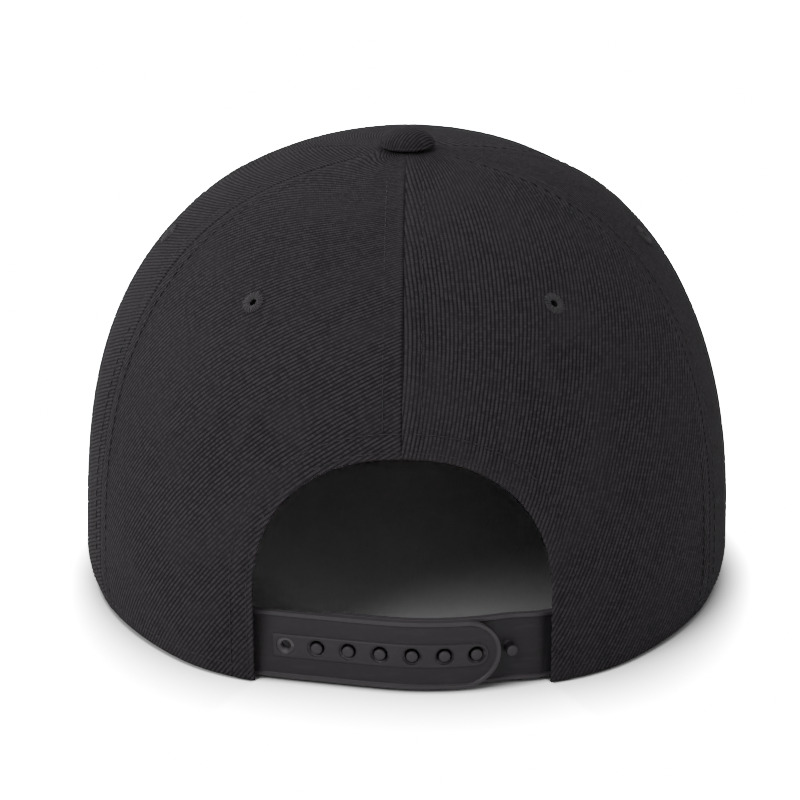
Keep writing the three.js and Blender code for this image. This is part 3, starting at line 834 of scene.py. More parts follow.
@dataclass
class Crown:
    """The six cloth panels with their seams, hems and topstitching."""

    form: CrownForm
    cloth: bpy.types.Material
    backing: bpy.types.Material
    thread: bpy.types.Material
    seam_offset: float = 5.0 * MM
    seam_roll: float = 0.13 * MM
    seam_groove: float = 0.42 * MM
    groove_width: float = 0.55 * MM
    stitch_dip: float = 0.08 * MM
    front_share: float = 0.3
    pucker: float = 0.05 * MM
    wave: float = 0.35 * MM
    edge_round: float = 0.6 * MM
    edge_thinning: float = 0.6
    hem_offset: float = 4.5 * MM
    hem_height: float = 0.1 * MM
    arch_offsets: tuple[float, float] = (1.7 * MM, 6.2 * MM)
    lap_rise: float = 0.25 * MM
    lap_dip: float = 0.14 * MM
    rubbed: float = 0.5
    stitch_thickness: float = 0.34 * MM
    first_stitch: float = 0.04
    last_stitches: tuple[float, float, float] = (1.86, 1.9, 1.7)
    low_rows: float = 0.22
    seam_band: float = 0.13
    arch_band: float = 0.11
    top_band: float = 0.02
    crowded: tuple[float, float, int] = (3e-5, 0.15, 68)
    columns: int = 96
    rows: int = 150
    rib_pitch: float = 1.0 * MM
    lays: dict[str, Lay] = field(default_factory=lambda: {
        "back_left": Lay(-0.731, 0.618, (0.131, 0.113, 0.048)),
        "back_right": Lay(-0.668, 0.33, (0.191, -0.037, 0.004)),
        "side_left": Lay.straight(22.0), "side_right": Lay.straight(52.0),
        "front_left": Lay.straight(45.0), "front_right": Lay.straight(45.0),
    })

    def seam_angles(self, part: int) -> tuple[float, float]:
        """Gives the polar angles of the two seams of panel number part, from the back."""
        start, end = self.form.seams_deg[part : part + 2]
        return math.radians(start), math.radians(end)

    def packed(self, count: int, band: float) -> np.ndarray:
        """Gives shares from 0 to 1 that lie closer together near both ends.

        Args:
            count: How many shares.
            band: The share of the way, at each end, that gets a third of them.

        Returns:
            The shares, rising.
        """
        third = count // 3
        start = np.linspace(0, band, third, endpoint=False)
        middle = np.linspace(band, 1 - band, count - 2 * third, endpoint=False)
        return np.concatenate([start, middle, np.linspace(1 - band, 1, third)])

    def plain_grid(self, part: int) -> tuple[np.ndarray, np.ndarray]:
        """Gives angle and climb on a grid between two seams, for a side or front panel."""
        start, end = self.seam_angles(part)
        rise = np.linspace(0, 1, self.rows)
        low = self.low_rows
        climb = np.where(rise < low, rise / low, 1 + (rise - low) / (1 - low))
        share = self.packed(self.columns, self.seam_band)
        angle = start + (end - start) * share[:, None] + 0 * climb[None]
        return angle, np.broadcast_to(climb[None], angle.shape).copy()

    def arched_grid(self) -> tuple[np.ndarray, np.ndarray]:
        """Gives angle and climb on a ruled grid from the arch to the back panel's outer seam.

        Columns go from the arch to the seam. Each row joins a point of the arch with the point
        at the same share of the way round the panel's outer side, which runs from the top of
        the middle seam over the button hole to the outer seam and down to the hem.
        """
        start, end = self.seam_angles(0)
        first, last, count = self.crowded
        near = np.geomspace(first, last, count, endpoint=False)
        share = np.concatenate([[0.0], near, np.linspace(last, 1, self.rows)])
        inner = self.form.arch_curve(share)
        top = np.clip(share / self.top_band, 0, 1)
        down = np.clip((share - self.top_band) / (1 - self.top_band), 0, 1)
        outer_angle = start + (end - start) * top
        fine = np.linspace(0, 2, 400)
        way = self.form.way_up(np.full_like(fine, end), fine)
        outer_climb = np.interp((1 - down) * way[-1], way, fine)
        across = self.packed(self.columns, self.arch_band)[:, None]
        angle = inner[None, :, 0] * (1 - across) + outer_angle[None] * across
        climb = inner[None, :, 1] * (1 - across) + outer_climb[None] * across
        return angle, climb

    def cloth_map(self, angle: np.ndarray, climb: np.ndarray, part: int, lay: Lay,
                  side: Side) -> np.ndarray:
        """Lays the panel flat and gives lengths along and across its ribs."""
        start, end = self.seam_angles(part)
        radius = self.form.plan_radius(angle, climb)
        round_ = side.value * radius * (angle - (start + end) / 2) / MM
        along, across = lay.ribs(round_, self.form.way_up(angle, climb) / MM)
        return np.stack([along, across], -1) * self.rib_pitch

    def relief(self, angle: np.ndarray, climb: np.ndarray, part: int,
               seed: int) -> tuple[np.ndarray, np.ndarray]:
        """Works out how far the cloth stands off its plain form, and how rubbed it is.

        The seam allowance under the cloth lifts it softly as far as the topstitching, which pulls
        it down and puckers it. A groove runs along each seam. All of this flattens out towards
        the button and is faint along the front seam. Long soft waves cross the panel.
        """
        start, end = self.seam_angles(part)
        radius = self.form.plan_radius(angle, climb)
        up = self.form.way_up(angle, climb)
        height = np.zeros_like(angle)
        wear = np.zeros_like(angle)
        last = self.front_share if part == 2 else 1.0
        for edge, phase, share in ((angle - start, 0.0, 1.0), (end - angle, 1.9, last)):
            gap = radius * edge
            calm = share * smooth(radius, 0.008, 0.030)
            band = 1 - smooth(gap, self.seam_offset - 1.6 * MM, self.seam_offset + 1.2 * MM)
            height += self.seam_roll * band * calm
            height -= self.seam_groove * bell(gap, 0.0, self.groove_width / 2) * calm
            height -= self.stitch_dip * bell(gap, self.seam_offset, 0.8 * MM) * calm
            pucker = np.sin(up / (1.1 * MM) + phase + 2 * np.sin(up / 0.021 + seed))
            height += self.pucker * pucker * bell(gap, self.seam_offset, 3.5 * MM) * calm
            wear += self.rubbed * bell(gap, 1.4 * MM, 0.9 * MM) * band
        middle = radius * (angle - (start + end) / 2)
        wave = np.sin(middle / 0.017 + up / 0.031 + seed) * np.sin(up / 0.043 + 1.7 * seed)
        quiet = smooth(up, 0.0, 0.02) * (1 - smooth(up, 0.12, 0.15))
        height += self.wave * wave * quiet
        return height, np.clip(wear, 0, 1)

    def arch_gap(self, points: np.ndarray, side: Side) -> np.ndarray:
        """Gives each point's distance to the arch's edge."""
        curve = self.form.arch_curve(np.linspace(0, 1, 160))
        edge = self.form.face(side.value * curve[:, 0], curve[:, 1])
        flat = points.reshape(-1, 3)
        nearest = np.full(len(flat), 1.0)
        for chunk in np.array_split(np.arange(len(flat)), 24):
            gaps = np.linalg.norm(flat[chunk, None] - edge[None], axis=-1)
            nearest[chunk] = gaps.min(1)
        return nearest.reshape(points.shape[:-1])

    def squared(self, inner: np.ndarray, outer: np.ndarray, angle: np.ndarray, climb: np.ndarray,
                gap: np.ndarray, depth: np.ndarray) -> np.ndarray:
        """Slides the inner face along itself until its edge lies straight behind the outer edge.

        The shift is found on the arch by a few Newton steps in angle and climb, and fades into
        the panel.

        Args:
            inner: The inner face's points.
            outer: The outer face's points.
            angle: The signed polar angles.
            climb: The climbs.
            gap: The distance to the arch.
            depth: The inner face's depth.

        Returns:
            The inner face's points after the shift.
        """
        turn, rise = angle[0].copy(), climb[0].copy()
        tiny = 1e-4
        for _ in range(5):
            here = self.under(turn, rise, depth[0])
            ahead = (self.under(turn + tiny, rise, depth[0]) - here) / tiny
            above = (self.under(turn, rise + tiny, depth[0]) - here) / tiny
            miss = outer[0] - here
            size = ahead[:, 0] * above[:, 2] - ahead[:, 2] * above[:, 0]
            turn += (miss[:, 0] * above[:, 2] - miss[:, 2] * above[:, 0]) / size
            rise += (miss[:, 2] * ahead[:, 0] - miss[:, 0] * ahead[:, 2]) / size
            rise = np.clip(rise, 0, 2)
        fade = 1 - smooth(gap, 0.0, 0.008)
        moved = self.under(angle + (turn - angle[0]) * fade, climb + (rise - climb[0]) * fade, depth)
        return np.where(fade[..., None] > 0, moved, inner)

    def under(self, angle: np.ndarray, climb: np.ndarray, depth: np.ndarray) -> np.ndarray:
        """Gives points at a depth under the drawn-in face."""
        return self.form.face(angle, climb) - self.form.normal(angle, climb) * depth

    def panel(self, part: int, word: str, side: Side) -> bpy.types.Object:
        """Builds one panel as a closed wall and gives it its finish.

        Args:
            part: The panel's number from the back.
            word: The panel's word in its node's name.
            side: The wearer's left or right.

        Returns:
            The panel's object.
        """
        angle, climb = self.arched_grid() if word == "back" else self.plain_grid(part)
        seed = part * 2 + (side is Side.RIGHT)
        height, wear = self.relief(angle, climb, part, seed)
        signed = side.value * angle
        base = self.form.face(signed, climb)
        normal = self.form.normal(signed, climb)
        up = self.form.way_up(angle, climb)
        fall = rounded(up, self.edge_round)
        height = height * smooth(up, 0.0, 0.004)
        if word == "back":
            gap = self.arch_gap(base, side)
            lap = self.arch_offsets[1]
            height = height * smooth(gap, 0.0, 0.003)
            height += self.lap_rise * (1 - smooth(gap, lap - 0.6 * MM, lap + 1.0 * MM))
            for row in self.arch_offsets:
                height -= self.lap_dip * bell(gap, row, 0.8 * MM)
            fall = np.maximum(fall, rounded(gap, self.edge_round))
            wear += self.rubbed * bell(gap, 0.0, 1.2 * MM)
        outer = base + normal * (height - fall)[..., None]
        depth = (self.form.cloth - self.edge_thinning * fall)[..., None]
        inner = base - normal * depth
        if word == "back":
            inner = self.squared(inner, outer, signed, climb, gap, depth)
        hem = self.hem_height
        for face in (outer, inner):
            face[..., 2] = np.where(climb <= 0, hem, np.maximum(face[..., 2], hem))
        points, faces = wall(outer, inner)
        lay = self.lays[f"{word}_{side.word}"]
        uv = self.cloth_map(angle, climb, part, lay, side)
        both = np.concatenate([uv.reshape(-1, 2)] * 2)
        rubbed = np.concatenate([np.clip(wear, 0, 1).ravel(), np.zeros(wear.size)])
        name = f"{word}_panel_{side.word}"
        made = mesh_object(f"{name}_cloth", points, faces, self.cloth, uv=both, wear=rubbed,
                           backing=self.backing)
        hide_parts(name)
        return made

    def seam_line(self, angle: float, offset: float, low: float,
                  high: float) -> tuple[np.ndarray, np.ndarray]:
        """Gives a path beside a seam at a fixed distance, and the normals along it.

        Args:
            angle: The seam's polar angle.
            offset: The distance from the seam, positive towards larger angles.
            low: The climb where the path starts.
            high: The climb where it ends.

        Returns:
            The points and normals.
        """
        climb = np.linspace(low, high, 160)
        seam = np.full_like(climb, angle)
        radius = self.form.plan_radius(seam, climb)
        beside = seam + offset / radius
        return self.form.face(beside, climb), self.form.normal(beside, climb)

    def stitch(self) -> bpy.types.Object:
        """Sews both sides of each seam, both rows round the arch and the row above the hem."""
        work = Seamwork(thickness=self.stitch_thickness)
        side_end, back_end, front_end = self.last_stitches
        low = self.first_stitch
        arch_top = float(self.form.arch_curve(np.array([0.0]))[0, 1])
        for side in Side:
            for degrees in self.form.seams_deg[1:3]:
                angle = side.value * math.radians(degrees)
                for offset in (-self.seam_offset, self.seam_offset):
                    work.sew(*self.seam_line(angle, offset, low, side_end))
            offset = side.value * self.seam_offset
            work.sew(*self.seam_line(0.0, offset, arch_top + 0.05, back_end))
            work.sew(*self.seam_line(math.pi, offset, low, front_end))
            for row in self.arch_offsets:
                curve = self.form.arch_curve(np.linspace(0.0, 0.99, 240), inset=row)
                angle, climb = side.value * curve[:, 0], curve[:, 1]
                normals = self.form.normal(angle, climb)
                work.sew(self.form.face(angle, climb) + normals * 0.1 * MM, normals)
            angle = side.value * np.linspace(self.form.leg_angle + 0.02, math.pi - 0.01, 400)
            climb = self.form.climb_at(angle, np.full_like(angle, self.hem_offset))
            normals = self.form.normal(angle, climb)
            work.sew(self.form.face(angle, climb), normals)
        made = work.build("crown_topstitching", self.thread)
        return made

    def build(self) -> list[bpy.types.Object]:
        """Builds the six panels and their stitching."""
        words = ("back", "side", "front")
        made = [self.panel(part, word, side) for side in Side for part, word in enumerate(words)]
        return [*made, self.stitch()]


@dataclass
class Eyelets:
    """The six sewn vent rings, one in each panel, and the holes that they edge."""

    form: CrownForm
    thread: bpy.types.Material
    height: float = 0.0995
    outer_radius: float = 3.35 * MM
    bore_radius: float = 1.2 * MM
    rise: float = 0.5 * MM
    thread_thickness: float = 0.34 * MM
    taper: tuple[float, ...] = (0.6, 1.0, 1.0, 1.0, 1.0, 0.9, 0.5)
    core_share: float = 0.86
    core_rise: float = 0.8
    core_sink: float = 1.9
    threads: int = 46
    angles_deg: dict[str, float] = field(default_factory=lambda: {
        "back": 31.5, "side": 88.0, "front": 149.0,
    })

    def place(self, word: str, side: Side) -> tuple[np.ndarray, np.ndarray, np.ndarray, np.ndarray]:
        """Gives an eyelet's centre, its normal and two directions in the cloth."""
        angle = np.array(side.value * math.radians(self.angles_deg[word]))
        climb = self.form.climb_at(angle, np.array(self.height))
        centre = self.form.point(angle, climb)
        normal = self.form.normal(angle, climb)
        level = unit(np.cross(np.array([0.0, 0.0, 1.0]), normal))
        return centre, normal, level, np.cross(normal, level)

    def core(self, centre: np.ndarray, normal: np.ndarray, level: np.ndarray,
             up: np.ndarray) -> tuple[np.ndarray, np.ndarray, np.ndarray]:
        """Builds the padded ring under the threads.

        Args:
            centre: The eyelet's centre.
            normal: The cloth's normal there.
            level: The level direction in the cloth.
            up: The direction up the cloth.

        Returns:
            The vertices, quads and cloth coordinates.
        """
        tube = np.linspace(0, 2 * math.pi, 14, endpoint=False)[None]
        turn = np.linspace(0, 2 * math.pi, 72, endpoint=False)[:, None]
        half = (self.outer_radius - self.bore_radius) / 2
        middle = (self.outer_radius + self.bore_radius) / 2
        radius = middle + self.core_share * half * np.cos(tube) + 0 * turn
        swell = np.where(np.sin(tube) < 0, self.core_sink, self.core_rise)
        height = swell * self.rise * np.sin(tube) + 0 * turn
        outward = np.cos(turn)[..., None] * level + np.sin(turn)[..., None] * up
        points = centre + radius[..., None] * outward + height[..., None] * normal
        columns, rows = points.shape[:2]
        number = np.arange(columns) * rows
        after = np.roll(number, -1)
        seam = np.stack([number + rows - 1, after + rows - 1, after, number], -1)
        faces = np.concatenate([grid_faces(columns, rows, close=True), seam])
        flat = points.reshape(-1, 3)
        uv = np.stack(np.broadcast_arrays(tube * half, turn * middle), -1).reshape(-1, 2)
        return flat, facing_out(flat, faces), uv

    def ring(self, word: str, side: Side, seed: int) -> bpy.types.Object:
        """Builds one ring: a padded core wrapped closely in radial threads of uneven length.

        Args:
            word: The panel's word in its node's name.
            side: The wearer's left or right.
            seed: The seed of the threads' unevenness.

        Returns:
            The ring's object.
        """
        centre, normal, level, up = self.place(word, side)
        chance = np.random.default_rng(seed)
        flat, faces, uv = self.core(centre, normal, level, up)
        work = Seamwork(thickness=self.thread_thickness)
        share = np.linspace(0, 1, work.rings)[None]
        start = (np.arange(self.threads) + chance.uniform(-0.3, 0.3, self.threads))[:, None]
        lean = chance.uniform(-0.05, 0.16, (self.threads, 1))
        angle = start * 2 * math.pi / self.threads + share * lean
        far = self.outer_radius * chance.uniform(0.94, 1.07, (self.threads, 1))
        near = self.bore_radius * 0.9
        reach = near + (far - near) * share
        rise = self.rise * np.sin(math.pi * (0.1 + 0.86 * share)) ** 0.7
        rise = rise + 0.1 * MM * chance.uniform(-1, 1, (self.threads, 1)) - 0.25 * MM * (share == 0)
        away = np.cos(angle)[..., None] * level + np.sin(angle)[..., None] * up
        lines = centre + reach[..., None] * away + rise[..., None] * normal
        ups = np.broadcast_to(normal, lines.shape)
        swell = work.thickness / 2 * np.array(self.taper)
        work.lay(lines, ups, swell, reach + start * MM)
        points, faces = together([(flat, faces), work.body()])
        name = f"eyelet_{word}_{side.word}"
        made = mesh_object(f"{name}_thread", points, faces, self.thread,
                           uv=np.concatenate([uv, work.map()]))
        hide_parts(name)
        return made

    def pierce(self, panel: bpy.types.Object, word: str, side: Side) -> None:
        """Cuts the eyelet's hole through its panel with a round bar."""
        centre, normal, _, _ = self.place(word, side)
        cut_away(panel, round_bar(centre, normal, self.bore_radius * 1.25, 12 * MM))

    def build(self, panels: dict[str, bpy.types.Object]) -> list[bpy.types.Object]:
        """Builds the rings and cuts their holes in the panels, given by node name."""
        made = []
        for side in Side:
            for word in self.angles_deg:
                self.pierce(panels[f"{word}_panel_{side.word}"], word, side)
                made.append(self.ring(word, side, len(made)))
        return made


def round_bar(centre: np.ndarray, axis: np.ndarray, radius: float, length: float) -> bpy.types.Object:
    """Makes a round bar to cut a hole with.

    Args:
        centre: The bar's middle.
        axis: Its direction.
        radius: Its radius.
        length: Its length.

    Returns:
        The bar.
    """
    bpy.ops.mesh.primitive_cylinder_add(vertices=40, radius=radius, depth=length)
    bar = bpy.context.active_object
    turn = Vector((0, 0, 1)).rotation_difference(Vector(axis)).to_matrix().to_4x4()
    bar.data.transform(Matrix.Translation(Vector(centre)) @ turn)
    return bar


def cut_away(piece: bpy.types.Object, tool: bpy.types.Object) -> None:
    """Cuts a tool's shape out of a piece, keeps the result in its mesh and removes the tool."""
    cut = piece.modifiers.new("cut", "BOOLEAN")
    cut.operation = "DIFFERENCE"
    cut.solver = "EXACT"
    cut.object = tool
    bpy.context.view_layer.update()
    graph = bpy.context.evaluated_depsgraph_get()
    done = bpy.data.meshes.new_from_object(piece.evaluated_get(graph))
    piece.modifiers.clear()
    old = piece.data
    done.name = old.name
    piece.data = done
    bpy.data.meshes.remove(old)
    spent = tool.data
    bpy.data.objects.remove(tool)
    bpy.data.meshes.remove(spent)


@dataclass
class Button:
    """The cloth covered button on the crown's top."""

    form: CrownForm
    cloth: bpy.types.Material
    radius: float = 7.9 * MM
    dome: float = 3.5 * MM
    edge: float = 0.9 * MM
    lift: float = 0.45 * MM
    clearance: float = 0.3 * MM
    gather_depth: float = 0.12 * MM
    gather_width: float = 2.2 * MM
    gathers: int = 14
    rib_angle_deg: float = 58.0
    ribs_per_mm: float = 1.1

    def build(self) -> bpy.types.Object:
        """Builds the dome by turning its profile, with small gathers round the edge.

        The profile goes from the axis under the crown's peak out to the edge, round it and over
        the dome to the axis again. The cloth is laid out by the length from the dome's top.
        """
        seat = self.form.height - self.form.peak_rise + self.clearance
        out = np.array([0.02, 0.3, 0.6, 0.8, 0.93])
        near = 1 - out * self.radius / self.form.back_reach
        under = self.form.peak_rise * near**self.form.peak_power
        under = under + self.lift * smooth(out, 0.7, 1.0)
        low = seat + under[-1] + 0.1 * MM
        bend = np.linspace(-0.5, 0.5, 9) * math.pi
        rim_r = self.radius - self.edge / 2 + self.edge / 2 * np.cos(bend)
        rim_z = low + self.edge / 2 + self.edge / 2 * np.sin(bend)
        rise = np.linspace(0, math.pi / 2, 26)[1:]
        top_r = rim_r[-1] * np.cos(rise)
        top_r[-1] = 0.02 * MM
        top_z = rim_z[-1] + (self.dome - self.edge) * np.sin(rise)
        top_z = top_z + self.edge * smooth(rise, 0.0, 1.2)
        radius = np.concatenate([out * self.radius, rim_r, top_r])
        height = np.concatenate([seat + under, rim_z, top_z])
        turn = np.linspace(0, 2 * math.pi, 96, endpoint=False)[:, None]
        near_edge = bell(radius, self.radius, self.gather_width)
        pleats = np.sin(turn * self.gathers + np.sin(3 * turn))
        gather = self.gather_depth * near_edge * pleats
        flat_r = radius[None] + gather * (radius > 0.4 * self.radius)
        points = np.stack([
            flat_r * np.cos(turn), self.form.axis_y + flat_r * np.sin(turn), height[None] + 0 * turn,
        ], -1)
        columns, rows = points.shape[:2]
        hubs = np.array([[0, self.form.axis_y, height[0]], [0, self.form.axis_y, height[-1]]])
        flat = np.concatenate([points.reshape(-1, 3), hubs])
        faces = facing_out(flat, capped_faces(columns, rows))
        steps = np.hypot(np.diff(radius), np.diff(height))
        length = np.concatenate([np.cumsum(steps[::-1])[::-1], [0.0]])
        x, y = length[None] * np.cos(turn), length[None] * np.sin(turn)
        angle = math.radians(self.rib_angle_deg)
        along = x * math.cos(angle) + y * math.sin(angle)
        across = y * math.cos(angle) - x * math.sin(angle)
        uv = np.stack([along, across], -1).reshape(-1, 2) * self.ribs_per_mm
        uv = np.concatenate([uv, uv[:1], [[0.0, 0.0]]])
        wear = np.zeros(len(flat))
        made = mesh_object("top_button_cloth", flat, faces, self.cloth, uv=uv, wear=wear)
        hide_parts("top_button")
        return made


@dataclass
class Brim:
    """The flat peak with its rows of stitching."""

    form: CrownForm
    cloth: bpy.types.Material
    thread: bpy.types.Material
    length: float = 0.070
    width: float = 0.186
    thickness: float = 3.4 * MM
    camber: float = 5.0 * MM
    lift: float = 0.8 * MM
    shoulder: float = 0.054
    corner_depth: float = 0.046
    power: float = 2.3
    clearance: float = 0.3 * MM
    least_edge: float = 0.12
    corner_gap: float = 1.4 * MM
    rows_of_stitching: int = 8
    row_pitch: float = 7.5 * MM
    first_row: float = 4.0 * MM
    row_dip: float = 0.22 * MM
    puff: float = 0.10 * MM
    rubbed: float = 0.6
    stitch_length: float = 3.0 * MM
    stitch_depth: float = 0.18 * MM
    rib_angle_deg: float = 45.0

    def outline(self, turn: np.ndarray) -> np.ndarray:
        """Gives the peak's edge in plan, relative to the crown's axis, as a superellipse."""
        forward = self.form.front_reach + self.length - self.shoulder
        depth = np.where(np.cos(turn) > 0, forward, self.corner_depth)
        across = signed_power(np.sin(turn), 2 / self.power)
        along = signed_power(np.cos(turn), 2 / self.power)
        return np.stack([self.width / 2 * across, self.shoulder + depth * along], -1)

    def last_turn(self) -> float:
        """Finds where the edge comes back to the crown."""
        turn = np.linspace(math.pi / 2, math.pi, 2000)
        edge = self.outline(turn)
        angle = np.arctan2(edge[:, 0], -edge[:, 1])
        gap = np.linalg.norm(edge, axis=1) - self.form.direction(angle)[0]
        return float(turn[np.argmax(gap < self.corner_gap) - 1])

    def underside(self, x: np.ndarray) -> np.ndarray:
        """Gives the height of the underside, which arches up to the middle as a parabola."""
        return self.lift + self.camber * (1 - (2 * x / self.width) ** 2)

    def plan(self, across: np.ndarray, inset: np.ndarray) -> tuple[np.ndarray, np.ndarray]:
        """Gives places in plan at shares across and insets from the edge to the root.

        Args:
            across: Shares from -1 at the left corner to 1 at the right.
            inset: Shares from 0 at the edge to 1 at the crown.

        Returns:
            The places relative to the crown's axis, and each line's length.
        """
        last = self.last_turn()
        edge = self.outline(across * last)
        end = self.outline(np.array([last]))[0]
        half = math.pi - math.atan2(end[0], -end[1])
        angle = math.pi - across * half
        rough = self.form.direction(angle)[0] * np.sin(angle)
        level = self.underside(rough) + self.thickness / 2
        radius = self.form.plan_radius(angle, self.form.climb_at(angle, level)) + self.clearance
        root = np.stack([radius * np.sin(angle), -radius * np.cos(angle)], -1)
        width = np.linalg.norm(root - edge, axis=-1)
        return edge[:, None] + (root - edge)[:, None] * inset[None, :, None], width

    def build(self) -> list[bpy.types.Object]:
        """Builds the board with a round edge, and its stitching."""
        across = np.linspace(-1, 1, 181)
        share = np.linspace(0, 1, 90)
        place, width = self.plan(across, share)
        gap = share[None] * width[:, None]
        round_ = self.thickness / 2
        shortfall = np.clip(round_ - gap, 0, round_)
        least = (self.least_edge * round_) ** 2
        half = np.sqrt(np.maximum(round_**2 - shortfall**2, least))
        middle = self.underside(place[..., 0]) + self.thickness / 2
        dip = np.zeros_like(gap)
        sewn_at = [self.first_row + row * self.row_pitch for row in range(self.rows_of_stitching)]
        for line in sewn_at:
            dip += self.row_dip * bell(gap, line, 1.0 * MM)
        puff = self.puff * np.sin(gap / self.row_pitch * 2 * math.pi)
        x, y = place[..., 0], place[..., 1] + self.form.axis_y
        top = np.stack([x, y, middle + half - dip + puff * smooth(gap, 0.004, 0.008)], -1)
        low = np.stack([x, y, middle - half + dip], -1)
        points, faces = wall(top, low)
        turn = math.radians(self.rib_angle_deg)
        along = x * math.cos(turn) + y * math.sin(turn)
        uv = np.stack([along, y * math.cos(turn) - x * math.sin(turn)], -1)
        wear = self.rubbed * bell(gap, 0.0, 1.6 * MM)
        both = np.concatenate([uv.reshape(-1, 2)] * 2)
        rubbed = np.concatenate([wear.ravel()] * 2)
        board = mesh_object("brim_cloth", points, faces, self.cloth, uv=both, wear=rubbed)
        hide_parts("brim")
        work = Seamwork(length=self.stitch_length)
        for line in sewn_at:
            fits = width > line + 2 * MM
            inset = (line / np.maximum(width, 1e-6))[fits, None]
            path = place[fits, 0] + (place[fits, -1] - place[fits, 0]) * inset
            level = self.underside(path[:, 0]) + self.thickness / 2
            for sign in (1, -1):
                height = level + sign * (self.thickness / 2 - self.stitch_depth)
                points = np.column_stack([path[:, 0], path[:, 1] + self.form.axis_y, height])
                normals = np.tile([0.0, 0.0, float(sign)], (len(points), 1))
                work.sew(points, normals)
        sewn = work.build("brim_stitching", self.thread)
        return [board, sewn]


